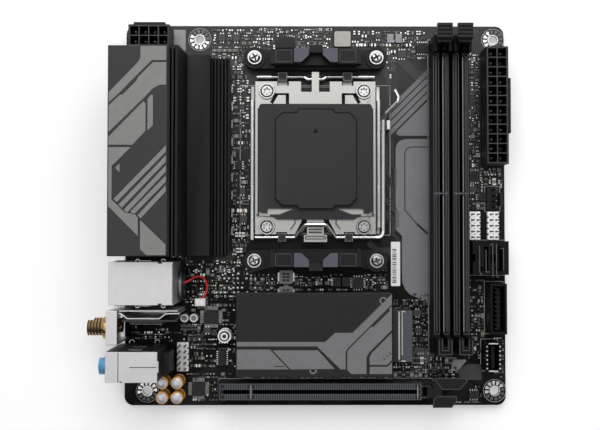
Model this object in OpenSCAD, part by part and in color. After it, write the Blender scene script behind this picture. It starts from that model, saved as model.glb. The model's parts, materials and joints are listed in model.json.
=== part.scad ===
// Mini-ITX computer board: circuit board, CPU socket with lever and load plate, cooler
// brackets, memory and expansion slots, power and data headers, rear ports and heatsinks.
// Millimetres. X runs away from the rear port edge, Y along it, Z up from the board.
// The origin is the axis of the rear mounting hole nearest the expansion slot, on the
// underside of the board. Parts are drawn in board coordinates: X and Y from the board's
// corner, Z from its top face.

/* [Board] */
// Side of the square board
board_w = 170; // [170:1:172]
// Board thickness
board_t = 1.6; // [1.4:0.1:2]
// Radius of the board's corners
corner_r = 4; // [1:0.5:5]
// Radius of the mounting holes
mount_r = 1.98; // [1.9:0.01:2.1]
// Hole centres from the rear edge: near hole of the low side
hole_x_low = 10.16; // [10.16:0.01:10.16]
// Hole centres from the rear edge: near hole of the high side
hole_x_high = 33.02; // [33.02:0.01:33.02]
// Hole centres from the rear edge: both far holes
hole_x_far = 165.1; // [165.1:0.01:165.1]
// Distance of the low pair of holes from the low edge
hole_y_low = 6.35; // [6.35:0.01:6.35]
// Distance of the high pair of holes from the low edge
hole_y_high = 163.83; // [163.83:0.01:163.83]

/* [CPU socket] */
// Centre of the socket from the rear edge
socket_x = 84.94; // [84:0.1:86]
// Centre of the socket from the low edge
socket_y = 109.44; // [109:0.1:110]
// Side of the square processor package
cpu_w = 40; // [40:0.5:40]
// Top of the load plate above the board
plate_top = 5; // [4.8:0.1:5.2]
// Radius of the lever wire
lever_r = 0.95; // [0.8:0.05:1]
// Radius of the hinge wire
hinge_r = 0.8; // [0.6:0.05:0.85]
// Radial gap between a wire and its bracket
wire_gap = 0.06; // [0.03:0.01:0.1]

/* [Cooler mount] */
// Screw spacing along X
cooler_dx = 54; // [54:0.5:54]
// Screw spacing along Y
cooler_dy = 90; // [90:0.5:90]
// Height of the bracket bars above the board
bracket_h = 13; // [11:0.5:13]
// Thickness of the steel backplate
backplate_t = 2; // [1.5:0.1:2.5]

/* [Slots] */
// Length of the expansion slot
pcie_l = 89; // [89:0.5:89]
// Height of the expansion slot
pcie_h = 11.25; // [10:0.25:12]
// Distance between the two memory slots
dimm_pitch = 8.75; // [8.6:0.05:9.5]
// Height of the memory slot's long walls
dimm_h = 10.5; // [9:0.5:12]
// Top of the memory latches above the board
latch_top = 24; // [20:1:26]

/* [Connectors] */
// Pin pitch of the power headers
power_pitch = 4.2; // [4.2:0.1:4.2]
// Height of the power headers
power_h = 12.8; // [12:0.2:14]
// Radius of the antenna connectors' threaded barrel
antenna_r = 3.17; // [3:0.01:3.3]
// Radius of the audio jacks' bores
jack_r = 1.8; // [1.76:0.01:1.85]

/* [Heatsinks] */
// Top of the cover over the rear ports
cover_h = 38; // [36:0.5:40]
// Low end of the cover and the regulator heatsink
cover_y0 = 66.8; // [66:0.1:68]
// High end of the cover and the regulator heatsink
cover_y1 = 153.4; // [152:0.1:154]
// Top of the storage heatsink
m2_sink_h = 13.6; // [13:0.1:15]

/* [Hidden] */
$fn = 48;
eps = 0.01;
// A swept bend is a little thinner than the bars it joins, and runs into them by this much.
bend_fit = 0.98;
bend_lap = 0.5;
pin_grid = 2.54;
back_z = -board_t;
insulator_t = 0.3;
plate_t = 1.5;
plate_z = plate_top - plate_t;

// Wire hinges: height and place of the two axes
axis_z = 3;
lever_y = 74.7;
hinge_y = 146.4;

// Socket screws, from the socket centre
screw_dx = 21.55;
screw_dy = 30.15;
screw_y = socket_y + 0.16;

cpu_x0 = socket_x - cpu_w / 2;
cpu_y0 = socket_y - cpu_w / 2;

dimm_x = [139.9, 139.9 + dimm_pitch];
dimm_y0 = 31.8;
dimm_y1 = 156.4;
dimm_pivot_y = 160.2;
dimm_pivot_z = 4.4;
pivot_r = 0.9;

pcie_x0 = 42.4;
pcie_y = 7.65;
pcie_pivot_x = 134.6;
pcie_pivot_z = 3.6;

m2_y = 31.2;
m2_card_z = 6.6;

// ---------- helpers ----------

// Moves board coordinates into the part's frame.
module on_board() {
  translate([-hole_x_low, -hole_y_low, board_t]) children();
}

// A block from its ranges along X, Y and Z.
module block(x, y, z) {
  translate([x[0], y[0], z[0]]) cube([x[1] - x[0], y[1] - y[0], z[1] - z[0]]);
}

module rounded_rect(w, d, r) {
  translate([r, 0]) square([w - 2 * r, d]);
  translate([0, r]) square([w, d - 2 * r]);
  for (x = [r, w - r])
    for (y = [r, d - r])
      translate([x, y]) circle(r);
}

// A block with rounded upright edges.
module soft_block(x, y, z, r) {
  translate([x[0], y[0], z[0]])
    linear_extrude(z[1] - z[0])
      rounded_rect(x[1] - x[0], y[1] - y[0], r);
}

// A straight round bar between two points.
module bar(a, b, r) {
  d = b - a;
  translate(a)
    rotate([0, acos(d[2] / norm(d)), atan2(d[1], d[0])])
      cylinder(r = r, h = norm(d));
}

function unit(v) = v / norm(v);

// Direction of a route at its point i.
function heading(p, i) =
  unit((i > 0 ? unit(p[i] - p[i - 1]) : [0, 0, 0]) + (i < len(p) - 1 ? unit(p[i + 1] - p[i]) : [0, 0, 0]));

// The route with each corner rounded, starting and ending the distance d from it.
function rounded_route(p, d) = [
  p[0],
  for (i = [1 : len(p) - 2], t = [0 : 0.25 : 1])
    let (a = p[i] + d * unit(p[i - 1] - p[i]), b = p[i] + d * unit(p[i + 1] - p[i]))
      (1 - t) * (1 - t) * a + 2 * t * (1 - t) * p[i] + t * t * b,
  p[len(p) - 1]
];

// A round tube swept along a route that never runs straight up.
module sweep(route, r, sides = 12) {
  rings = [
    for (i = [0 : len(route) - 1])
      let (t = heading(route, i), u = unit(cross(t, [0, 0, 1])), v = cross(u, t))
        for (k = [0 : sides - 1])
          route[i] + r * (cos(360 * k / sides) * u + sin(360 * k / sides) * v)
  ];
  last = (len(route) - 1) * sides;
  polyhedron(
    points = rings,
    faces = [
      [for (k = [sides - 1 : -1 : 0]) k],
      [for (k = [0 : sides - 1]) last + k],
      for (i = [0 : len(route) - 2], k = [0 : sides - 1])
        let (a = i * sides + k, b = i * sides + (k + 1) % sides)
          each [[a, b, a + sides], [b, b + sides, a + sides]]
    ]
  );
}

// A cylinder along X from x0 to x1.
module x_rod(x0, x1, y, z, r) {
  translate([x0, y, z]) rotate([0, 90, 0]) cylinder(r = r, h = x1 - x0);
}

// A cylinder along Y from y0 to y1.
module y_rod(y0, y1, x, z, r) {
  translate([x, y1, z]) rotate([90, 0, 0]) cylinder(r = r, h = y1 - y0);
}

// An outline in X and Z drawn along Y.
module profile_y(y0, y1) {
  translate([0, y1, 0]) rotate([90, 0, 0]) linear_extrude(y1 - y0) children();
}

module each_mount_hole() {
  for (p = [[hole_x_low, hole_y_low], [hole_x_high, hole_y_high],
            [hole_x_far, hole_y_low], [hole_x_far, hole_y_high]])
    translate(p) children();
}

module each_cooler_screw() {
  for (x = [-1, 1])
    for (y = [-1, 1])
      translate([socket_x + x * cooler_dx / 2, socket_y + y * cooler_dy / 2]) children();
}

module each_socket_screw() {
  for (x = [-1, 1])
    for (y = [-1, 1])
      translate([socket_x + x * screw_dx, screw_y + y * screw_dy]) children();
}

// ---------- board ----------

module pcb() {
  color("#25221f") on_board() translate([0, 0, back_z]) linear_extrude(board_t)
    difference() {
      rounded_rect(board_w, board_w, corner_r);
      each_mount_hole() circle(mount_r);
      each_cooler_screw() circle(3.2);
      each_socket_screw() circle(1.8);
    }
}

// A row of solder joints under the board.
module joint_grid(x0, y0, nx, ny, dx, dy) {
  for (i = [0 : nx - 1])
    for (j = [0 : ny - 1])
      translate([x0 + i * dx, y0 + j * dy, back_z - 1.2]) cylinder(r1 = 0.3, r2 = 0.7, h = 1.2, $fn = 16);
}

module solder_joints() {
  color("silver") on_board() {
    joint_grid(162.3, 109.4, 2, 12, 4.4, power_pitch);
    joint_grid(5.1, 161, 4, 2, power_pitch, 3.9);
    joint_grid(155, 74.8, 2, 5, pin_grid, pin_grid);
    joint_grid(163, 74.8, 2, 5, pin_grid, pin_grid);
    joint_grid(24.8, 16.6, 2, 5, pin_grid, pin_grid);
    joint_grid(162.4, 34.6, 2, 10, 4, 2);
    joint_grid(4, 48, 3, 5, 6, 3.8);
    joint_grid(4, 71, 2, 5, 7, 2.6);
    joint_grid(4, 88, 2, 5, 7, 2.6);
    joint_grid(3, 16.5, 4, 2, 5, 9);
  }
}

// ---------- CPU socket ----------

module backplate_outline() {
  translate([56, 77]) square([57.9, 65]);
  for (x = [-1, 1])
    translate([socket_x + x * cooler_dx / 2 - 5, 59.4]) square([10, 100]);
}

module cooler_backplate() {
  color("dimgray") on_board() {
    translate([0, 0, back_z - insulator_t - backplate_t]) {
      linear_extrude(backplate_t)
        difference() {
          backplate_outline();
          translate([socket_x - 11, socket_y - 11]) rounded_rect(22, 22, 3);
          each_socket_screw() circle(1.45);
          each_cooler_screw() circle(1.65);
        }
      each_cooler_screw()
        difference() {
          cylinder(r = 3, h = backplate_t + insulator_t + board_t + 1.8);
          translate([0, 0, -1]) cylinder(r = 1.65, h = 10);
        }
    }
  }
}

module backplate_insulator() {
  color("black") on_board() translate([0, 0, back_z - insulator_t])
    linear_extrude(insulator_t)
      difference() {
        backplate_outline();
        translate([socket_x - 11, socket_y - 11]) rounded_rect(22, 22, 3);
        each_socket_screw() circle(1.8);
        each_cooler_screw() circle(3.2);
      }
}

module socket_body() {
  wall = 3.05;
  color("#1c1c1e") on_board()
    difference() {
      soft_block([cpu_x0 - wall, cpu_x0 + cpu_w + wall], [cpu_y0 - wall, cpu_y0 + cpu_w + wall], [0, 3.3], 1.5);
      soft_block([cpu_x0 - 0.1, cpu_x0 + cpu_w + 0.1], [cpu_y0 - 0.1, cpu_y0 + cpu_w + 0.1], [1.8, 4], 1);
      block([socket_x - 5, socket_x + 5], [socket_y - 5, socket_y + 5], [-1, 4]);
    }
}

module socket_contacts() {
  rows = 36;
  pitch = 0.94;
  field = rows * pitch;
  color("gold") on_board() translate([socket_x, socket_y, 1.8])
    difference() {
      for (i = [0 : rows - 1])
        translate([-field / 2 - 1, -field / 2 + i * pitch, 0]) cube([field + 2, 0.4, 0.5]);
      translate([-6, -6, -1]) cube([12, 12, 3]);
    }
}

// A bracket on the frame that holds a wire along X.
module wire_bracket(x0, x1, y, r) {
  difference() {
    block([x0, x1], [y - 1.9, y + 1.9], [0.4, axis_z + 1.6]);
    x_rod(x0 - 1, x1 + 1, y, axis_z, r + wire_gap);
  }
}

module socket_frame() {
  x0 = 56.2;
  x1 = 113.8;
  color("#9a9a96") on_board()
    difference() {
      union() {
        difference() {
          block([x0, x1], [76.4, 142.3], [0.4, 1.5]);
          block([61.6, 108.3], [86.1, 132.8], [0, 3]);
        }
        block([x0, x0 + 1.3], [73.6, 136], [0.4, 4.3]);
        block([x1 - 1.3, x1], [79, 136], [0.4, 4.3]);
        for (x = [68.3, 98]) {
          wire_bracket(x, x + 3.6, lever_y, lever_r);
          block([x, x + 3.6], [lever_y + 1.9 - eps, 78], [0.4, 1.5]);
        }
        for (x = [68.2, 97.2]) {
          wire_bracket(x, x + 4.2, hinge_y, hinge_r);
          block([x, x + 4.2], [142, hinge_y - 1.9 + eps], [0.4, 1.5]);
        }
        block([x1 - eps, 118], [122.6, 126.6], [0.4, 1.5]);
        block([116.6, 118], [122.6, 126.6], [0.4, 6.6]);
        each_socket_screw() translate([0, 0, 0.4]) cylinder(r = 3.2, h = 2.9);
      }
      each_socket_screw() cylinder(r = 1.6, h = 10);
    }
}

module socket_screws() {
  color("#b9bab8") on_board() each_socket_screw() {
    difference() {
      union() {
        translate([0, 0, 3.3]) cylinder(r = 3, h = 1.6);
        translate([0, 0, 4.9]) cylinder(r1 = 3, r2 = 2.2, h = 0.9);
      }
      translate([0, 0, 4.3]) cylinder(r = 1.45, h = 3, $fn = 6);
    }
    translate([0, 0, back_z - insulator_t - backplate_t + 0.2])
      cylinder(r = 1.4, h = 3.3 + board_t + insulator_t + backplate_t - 0.2);
  }
}

module hinge_wire() {
  dip = 1.05;
  x = [58.9, 79.5, 81.6, 88.3, 90.4, 111.4];
  color("#c8c8c8") on_board() {
    x_rod(x[0], x[1], hinge_y, axis_z, hinge_r);
    x_rod(x[4], x[5], hinge_y, axis_z, hinge_r);
    sweep(rounded_route([[x[1] - bend_lap, hinge_y, axis_z], [x[1] + 0.5, hinge_y, axis_z],
      [x[2], hinge_y - dip, axis_z], [x[3], hinge_y - dip, axis_z], [x[4] - 0.5, hinge_y, axis_z],
      [x[4] + bend_lap, hinge_y, axis_z]], 0.45), bend_fit * hinge_r);
  }
}

// Outline of the load plate.
module load_plate_outline() {
  half = 26.7;
  bottom = 76.15;
  top = 144.1;
  difference() {
    translate([socket_x - half, bottom]) square([2 * half, top - bottom]);
    // opening over the processor
    translate([socket_x - 18.4, 92.2]) rounded_rect(36.8, 34.6, 3);
    // screw heads
    each_socket_screw() circle(3.65);
    // recess for the centre hook
    translate([socket_x - 6.4, 139.5]) square([12.8, 10]);
    for (s = [-1, 1])
      translate([socket_x, 0]) mirror([s < 0 ? 1 : 0, 0]) {
        // slots either side of the spring tabs
        polygon([[11.7, 138.9], [11.7, 133], [13.2, 133], [13.2, 138], [16.6, 138], [18.9, 134],
                 [20.2, 134.8], [18, 138.9]]);
        // room for the hinge brackets
        translate([11.8, 142.2]) square([5.2, 5]);
        // room for the lever brackets
        translate([12.6, 70]) square([4.8, 7.1]);
        // shoulder cuts beside the nose
        polygon([[3.7, 70], [3.7, 83], [5.6, 83], [9.2, 76], [9.2, 70]]);
      }
  }
}

module load_plate() {
  color("#d0cfc8") on_board() {
    translate([0, 0, plate_z]) linear_extrude(plate_t) load_plate_outline();
    // nose under the lever's crank, with an upturned lip
    block([socket_x - 3.7 - eps, socket_x + 3.7 + eps], [74, 83], [plate_z, plate_top]);
    block([socket_x - 5.1, socket_x + 5.1], [73, 75.9], [plate_z, plate_top]);
    block([socket_x - 5.1, socket_x + 5.1], [72.7, 73.6], [plate_z, plate_top + 1.1]);
    // hook around the hinge wire
    block([socket_x - 1.6, socket_x + 1.6], [139, hinge_y + 1.9], [plate_z + 0.6, plate_top + 0.2]);
    block([socket_x - 1.6, socket_x + 1.6], [hinge_y + 0.9, hinge_y + 1.9], [axis_z - 0.6, plate_z + 0.7]);
  }
}

module socket_lever() {
  arm_x = 115.15;
  arm_z = axis_z + 1.6;
  bend = 3;
  crank_z = 6.1;
  run = [58.1, 75, 94.9, arm_x - bend];
  arm = [[arm_x, lever_y + bend, axis_z + 0.1], [arm_x, 126.5, arm_z]];
  along = unit(arm[1] - arm[0]);
  color("#d9dadb") on_board() {
    x_rod(run[0], run[1], lever_y, axis_z, lever_r);
    x_rod(run[2], run[3], lever_y, axis_z, lever_r);
    bar(arm[0], arm[1], lever_r);
    // crank
    sweep(rounded_route([[run[1] - bend_lap, lever_y, axis_z], [run[1] + 1, lever_y, axis_z],
      [80.5, 80.4, crank_z], [89.5, 80.4, crank_z], [run[2] - 1, lever_y, axis_z],
      [run[2] + bend_lap, lever_y, axis_z]], 0.9), bend_fit * lever_r);
    // corner
    sweep(rounded_route([[run[3] - bend_lap, lever_y, axis_z], [arm_x, lever_y, axis_z],
      arm[0] + bend_lap * along], bend - 0.1), bend_fit * lever_r);
    // handle
    sweep(rounded_route([arm[1] - bend_lap * along, [arm_x, 127.2, arm_z], [116, 129.6, 6.6],
      [121.2, 134.9, 8.8], [121.6, 136.5, 8.8], [119.9, 139.9, 8.8]], 0.7), bend_fit * lever_r);
  }
}

module socket_cap() {
  x0 = 59.9;
  x1 = 110;
  color("#2f3033") on_board()
    difference() {
      union() {
        translate([0, 0, plate_top]) linear_extrude(1.5)
          difference() {
            union() {
              translate([x0, 85.4]) rounded_rect(x1 - x0, 48.5, 1.5);
              polygon([[64.6, 90], [64.6, 84.6], [68, 82.6], [101.9, 82.6], [105.3, 84.6], [105.3, 90]]);
            }
            // windows over the load plate's curved edge
            for (s = [-1, 1])
              translate([socket_x, 0]) mirror([s < 0 ? 1 : 0, 0])
                polygon([[9.6, 87.4], [21, 87.4], [21.6, 85.9], [20.4, 84.9], [16, 84.9]]);
          }
        soft_block([67.1, 103.2], [88.6, 130], [plate_top, plate_top + 2.6], 4.5);
        for (y = [87.4, 129.6]) block([77.2, 92.6], [y, y + 1.6], [plate_top, plate_top + 2.6]);
      }
      soft_block([68.3, 102], [89.8, 128.8], [plate_top - 1, plate_top + 1.6], 3.5);
    }
}

// ---------- cooler brackets ----------

// The bracket on the low side of the socket; the other one is its mirror image.
module bracket_shape() {
  hx = cooler_dx / 2;
  difference() {
    union() {
      for (s = [-1, 1])
        translate([socket_x, socket_y - cooler_dy / 2]) mirror([s < 0 ? 1 : 0, 0]) {
          translate([hx, 0]) cylinder(r = 4.8, h = 6.6);
          linear_extrude(5.6) polygon([[18.6, 4.6], [18.6, -2.6], [24, -4], [27, -4.8], [30, 0], [27, 4.8]]);
          // bar end and its upright web
          block([9.5, 19.9], [-2.6, 3.8], [0, bracket_h]);
          block([17.8, 19.9], [3.7, 5.1], [0, bracket_h - 3]);
        }
      translate([socket_x, socket_y - cooler_dy / 2]) {
        block([-10, 10], [-2.6, 3.8], [0, 9]);
        block([-18, 18], [3.7, 5.1], [0, 5]);
        // sloped wedges that the cooler's clip rides over
        for (s = [-1, 1])
          mirror([s < 0 ? 1 : 0, 0, 0])
            translate([0, 0, 8.9]) linear_extrude(6.1)
              polygon([[3, -2.6], [9.5, -2.6], [9.5, 3.5], [6.3, 3.5], [3, 0.4]]);
        // hook
        block([-3, 3], [-4.3, -1], [8, 13]);
        block([-3, 3], [-4.3, -2.9], [3.5, 9]);
      }
    }
    translate([socket_x, socket_y - cooler_dy / 2, -1]) {
      for (s = [-1, 1]) {
        translate([s * hx, 0, 0]) cylinder(r = 1.9, h = 20);
        translate([s * hx, 0, 0]) cylinder(r = 3.15, h = 3);
      }
      // hollow under the bar
      block([-16.8, 16.8], [-1.2, 2.4], [0, 7.5]);
    }
  }
}

module cooler_bracket_lower() {
  color("#1b1b1d") on_board() bracket_shape();
}

module cooler_bracket_upper() {
  color("#1b1b1d") on_board()
    translate([0, 2 * socket_y, 0]) mirror([0, 1, 0]) bracket_shape();
}

module bracket_screws() {
  color("silver") on_board() each_cooler_screw() {
    difference() {
      union() {
        translate([0, 0, 6.6]) cylinder(r = 2.6, h = 1.1);
        translate([0, 0, 7.7]) cylinder(r1 = 2.6, r2 = 1.6, h = 0.9);
      }
      for (a = [45, 135]) rotate([0, 0, a]) translate([-1.5, -0.3, 7.6]) cube([3, 0.6, 2]);
    }
    translate([0, 0, -3]) cylinder(r = 1.55, h = 9.6);
  }
}

// ---------- memory and expansion slots ----------

module dimm_slot(x) {
  half = 3.7;
  // key bar, from the high end of the groove
  key_y = 94;
  color("#1a1a1c") on_board()
    difference() {
      union() {
        block([x - half, x + half], [dimm_y0 - 0.5, dimm_y1], [0, dimm_h]);
        // fixed tower at the low end
        block([x - half, x + half], [23.6, dimm_y0], [0, 8]);
        block([x - 3, x + 3], [24.6, dimm_y0], [0, 21]);
        // housing of the latch at the high end
        for (s = [-1, 1])
          block([x + s * 3.2 - 0.6, x + s * 3.2 + 0.6], [dimm_y1 - 1, 162.4], [0, 17]);
        block([x - half, x + half], [dimm_y1 - 1, 163.4], [0, 1.2]);
      }
      // groove for the module
      difference() {
        block([x - 0.8, x + 0.8], [28.4, dimm_y1 + 1], [1.8, 30]);
        block([x - 1, x + 1], [key_y - 0.9, key_y + 0.9], [0, dimm_h - 1]);
      }
      // holes for the latch's pivot pins
      x_rod(x - 3.5, x + 3.5, dimm_pivot_y, dimm_pivot_z, pivot_r + wire_gap);
      // side rows where the contacts show
      for (s = [-1, 1])
        block([x + s * 1.95 - 0.55, x + s * 1.95 + 0.55], [34.5, 154.5], [dimm_h - 2.5, 20]);
    }
}

module dimm_slot_1() {
  dimm_slot(dimm_x[0]);
}

module dimm_slot_2() {
  dimm_slot(dimm_x[1]);
}

module dimm_contacts() {
  color("gold") on_board()
    for (x = dimm_x)
      for (s = [-1, 1])
        block([x + s * 1.95 - 0.4, x + s * 1.95 + 0.4], [35, 154], [dimm_h - 2.5, dimm_h - 1.9]);
}

module dimm_latch(x) {
  inner = 2.45;
  color("#202022") on_board() {
    difference() {
      union() {
        block([x - inner, x + inner], [dimm_y1 + 0.4, 161.8], [1.6, 12]);
        block([x - inner, x + inner], [158.4, 162.2], [11.9, 22]);
        block([x - 3.2, x + 3.2], [159.6, 166.3], [21, latch_top - 0.6]);
        for (i = [0 : 3])
          block([x - 3.2, x + 3.2], [160 + 1.65 * i, 160.9 + 1.65 * i], [latch_top - 0.7, latch_top]);
        x_rod(x - inner, x + inner, dimm_pivot_y, dimm_pivot_z, 2.8);
        x_rod(x - 3.4, x + 3.4, dimm_pivot_y, dimm_pivot_z, pivot_r);
      }
      // notch that grips the module's edge
      block([x - 0.8, x + 0.8], [dimm_y1 - 1, 159.6], [6, 19]);
      block([x - 4, x + 4], [dimm_y1 - 1, 164], [-5, 1.55]);
      // rounded clearance at the housing floor
      block([x - 4, x + 4], [dimm_y1 - 1, 157.5], [-1, 3.4]);
    }
  }
}

module dimm_latch_1() {
  dimm_latch(dimm_x[0]);
}

module dimm_latch_2() {
  dimm_latch(dimm_x[1]);
}

module pcie_slot() {
  x1 = pcie_x0 + pcie_l;
  y0 = pcie_y - 3.65;
  y1 = pcie_y + 3.65;
  color("#1b1b1d") on_board()
    difference() {
      union() {
        block([pcie_x0, x1], [y0, y1], [0, pcie_h]);
        // cheeks that carry the latch
        for (y = [y0, y1 - 1.3]) block([x1 - 1, 137], [y, y + 1.3], [0, 7]);
      }
      y_rod(y0 + 0.3, y1 - 0.3, pcie_pivot_x, pcie_pivot_z, pivot_r + wire_gap);
      // groove, cut by the key bar
      difference() {
        block([pcie_x0 + 2.4, x1 - 1.6], [pcie_y - 0.92, pcie_y + 0.92], [2.4, 20]);
        block([55.9, 57.7], [y0, y1], [0, pcie_h - 0.6]);
      }
      // contact rows either side
      for (s = [-1, 1])
        for (x = [[44.9, 55.6], [58, 129.6]])
          block(x, [pcie_y + s * 2.2 - 0.75, pcie_y + s * 2.2 + 0.75], [pcie_h - 3, 20]);
    }
}

module pcie_contacts() {
  color("gold") on_board()
    for (s = [-1, 1])
      for (x = [[45.2, 55.3], [58.3, 129.3]])
        block(x, [pcie_y + s * 2.2 - 0.5, pcie_y + s * 2.2 + 0.5], [pcie_h - 3, pcie_h - 2.2]);
}

module pcie_latch() {
  color("#161618") on_board() {
    difference() {
      union() {
        // hub between the cheeks
        y_rod(pcie_y - 2.2, pcie_y + 2.2, pcie_pivot_x, pcie_pivot_z, 2.4);
        y_rod(pcie_y - 3.2, pcie_y + 3.2, pcie_pivot_x, pcie_pivot_z, pivot_r);
        block([133.2, 136], [pcie_y - 2.2, pcie_y + 2.2], [pcie_pivot_z, 13.4]);
        block([133.2, 139], [pcie_y - 2.2, pcie_y + 2.2], [10, 13.4]);
        // wings
        translate([0, 0, 12]) linear_extrude(1.8) {
          polygon([[136, 13.9], [149.4, 13.9], [150.7, 12.7], [147.3, 8.9], [139.4, 8.9], [139.4, 7], [136, 7]]);
          polygon([[135.6, 8], [135.6, 1.1], [143.6, 1.1], [145.8, 3.9], [145.8, 6.2], [139.4, 6.2], [139.4, 8]]);
        }
      }
      // finger groove between the wings
      block([139.6, 152], [6.3, 8.8], [10, 20]);
    }
  }
}

// ---------- headers ----------

// A grid of open cells, nx by ny, from the corner p.
module cell_grid(p, nx, ny, pitch, cell, z0, z1) {
  for (i = [0 : nx - 1])
    for (j = [0 : ny - 1])
      translate([p[0] + i * pitch, p[1] + j * pitch, z0]) cube([cell, cell, z1 - z0]);
}

module atx_header() {
  x0 = 159.6;
  y0 = 106.8;
  length = 12 * power_pitch + 1.2;
  color("#171718") on_board() {
    difference() {
      block([x0, x0 + 9.6], [y0, y0 + length], [0, power_h]);
      cell_grid([x0 + 0.9, y0 + 0.95], 2, 12, power_pitch, 3.5, 2, 20);
    }
    block([x0 + 9.6, x0 + 11], [y0 + 13.8, y0 + 38], [4, 11]);
  }
}

module eps_header() {
  x0 = 3;
  y0 = 158.2;
  length = 4 * power_pitch + 1.2;
  color("#171718") on_board() {
    difference() {
      block([x0, x0 + length], [y0, y0 + 9.6], [0, power_h]);
      cell_grid([x0 + 0.95, y0 + 0.9], 4, 2, power_pitch, 3.5, 2, 20);
    }
    block([x0 + 2, x0 + length - 2.2], [y0 + 9.6, y0 + 11], [4, 11]);
    block([x0 - 1, x0], [y0 + 0.6, y0 + 5], [0, 10]);
  }
}

module power_pins() {
  color("silver") on_board() {
    for (i = [0 : 1])
      for (j = [0 : 11])
        translate([161.75 + i * power_pitch, 109 + j * power_pitch, 2]) cube([1, 1, 7]);
    for (i = [0 : 3])
      for (j = [0 : 1])
        translate([5.2 + i * power_pitch, 160.35 + j * power_pitch, 2]) cube([1, 1, 7]);
  }
}

// Bare pin headers: front panel, second data header and front audio.
pin_header_places = [[153.5, 73.6], [161.8, 73.6], [23.6, 15.4]];

module pin_headers() {
  color("#d8d8d4") on_board()
    for (p = pin_header_places)
      difference() {
        block([p[0], p[0] + 2 * pin_grid], [p[1], p[1] + 5 * pin_grid], [0, 2.54]);
        for (j = [0 : 4])
          for (x = [p[0], p[0] + 2 * pin_grid])
            translate([x, p[1] + j * pin_grid, -1]) rotate([0, 0, 45]) cube([0.6, 0.6, 6], center = true);
      }
}

module header_pins() {
  color("gold") on_board()
    for (p = pin_header_places)
      for (i = [0 : 1])
        for (j = [0 : 4])
          translate([p[0] + (i + 0.5) * pin_grid - 0.32, p[1] + (j + 0.5) * pin_grid - 0.32, 2.54])
            cube([0.64, 0.64, 6]);
}

// The four-pin fan header with its polarising wall.
module fan_header() {
  x0 = 161.6;
  y0 = 86.8;
  color("#1a1a1c") on_board() {
    block([x0, x0 + 5.4], [y0, y0 + 10.4], [0, 3]);
    block([x0 + 4.6, x0 + 5.8], [y0 + 2, y0 + 7.6], [2.9, 8.6]);
    for (j = [0 : 3])
      translate([x0 + 2.2, y0 + 1.1 + j * pin_grid, 2.9]) cube([0.64, 0.64, 7.5]);
  }
}

module sata_ports() {
  color("#1a1a1c") on_board()
    difference() {
      block([154, 169.9], [58.3, 73.1], [0, 8.4]);
      for (x = [158.9, 165.2]) {
        block([x, x + 1.9], [60, 70.6], [2, 20]);
        block([x - 1.5, x + 0.1], [60, 61.8], [2, 20]);
      }
      for (x = [153, 162]) block([x, x + 2.2], [64, 67.4], [1, 20]);
    }
}

module usb3_header() {
  color("#151516") on_board() {
    difference() {
      block([161.3, 168.5], [32.3, 54.5], [0, 10.6]);
      block([162.3, 167.5], [33.5, 53.3], [1.8, 20]);
    }
    block([164.2, 165.6], [34.3, 52.5], [1.7, 8.8]);
  }
}

module usb_c_header() {
  color("#a9aaac") on_board() {
    difference() {
      block([159.7, 165.5], [16, 28.6], [0, 10]);
      block([160.3, 164.9], [16.7, 27.9], [2, 20]);
    }
    block([162.1, 163.1], [17.4, 27.2], [1.9, 8.6]);
  }
}

// ---------- rear ports ----------

module usb_ports() {
  color("#c9c9ca") on_board()
    for (y = [70, 88])
      difference() {
        block([-2, 15.6], [y, y + 13.2], [0, 15.8]);
        for (z = [1.7, 9]) block([-3, 12], [y + 0.4, y + 12.8], [z, z + 5.1]);
      }
}

module display_ports() {
  color("#bfc0c2") on_board() {
    difference() {
      block([-2, 10], [106, 121], [0, 6.4]);
      block([-3, 8], [106.5, 120.5], [1, 5.6]);
    }
    difference() {
      block([-2, 13], [126, 143], [0, 7.6]);
      block([-3, 11], [126.5, 142.5], [1.3, 6.2]);
    }
  }
}

module lan_usb_port() {
  x1 = 24.9;
  color("#d3d2d3") on_board()
    difference() {
      union() {
        block([-2, x1], [46.2, 64.4], [0, 28]);
        block([0.4, 19.4], [46, 64.6], [20, 26]);
      }
      // wired network socket
      block([-3, 11.6], [49.4, 61.2], [16.6, 24.8]);
      block([-3, 10], [53.3, 57.3], [24.7, 26.4]);
      for (z = [1.7, 9]) block([-3, 12], [48.9, 61.7], [z, z + 5.1]);
    }
}

module port_tongues() {
  color("#222326") on_board() {
    for (y = [71, 89])
      for (z = [4.4, 11.7]) block([-1, 12], [y, y + 11.2], [z, z + 1.8]);
    for (z = [4.4, 11.7]) block([-1, 12], [49.7, 60.9], [z, z + 1.8]);
    block([-1.2, 8], [108, 119], [2.6, 3.9]);
    block([-1.2, 11], [128.4, 140.6], [3.2, 4.6]);
  }
}

module io_cover() {
  x0 = -0.9;
  x1 = 23.6;
  wall = 1.2;
  color("#39393b") on_board()
    difference() {
      block([x0, x1], [cover_y0, cover_y1], [9, cover_h]);
      block([x0 + wall, x1 - wall], [cover_y0 + wall, cover_y1 - wall], [0, cover_h - 1.4]);
      // mouth over the rear ports
      block([x0 - 1, x0 + 2], [cover_y0 + 2, cover_y1 - 2], [0, 30]);
    }
}

module vrm_heatsink() {
  x0 = 23.6;
  shelf = 18.6;
  fin_top = 12;
  color("#232326") on_board()
    difference() {
      profile_y(cover_y0, cover_y1)
        polygon([[x0, 9], [x0, cover_h - 0.4], [27.7, cover_h - 0.4], [29.6, shelf], [39.2, shelf],
                 [39.2, fin_top], [47.2, fin_top], [47.2, 7.6], [38.8, 7.6], [38.8, 1.6], [29, 1.6], [29, 9]]);
      // fins on the low step
      for (i = [0 : 4])
        block([39.9 + i * 1.5, 40.65 + i * 1.5], [cover_y0 - 1, cover_y1 + 1], [8.8, 20]);
      // grooves on the tall part
      for (x = [24.5, 26]) block([x, x + 0.7], [cover_y0 - 1, cover_y1 + 1], [cover_h - 5, 50]);
    }
}

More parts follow.
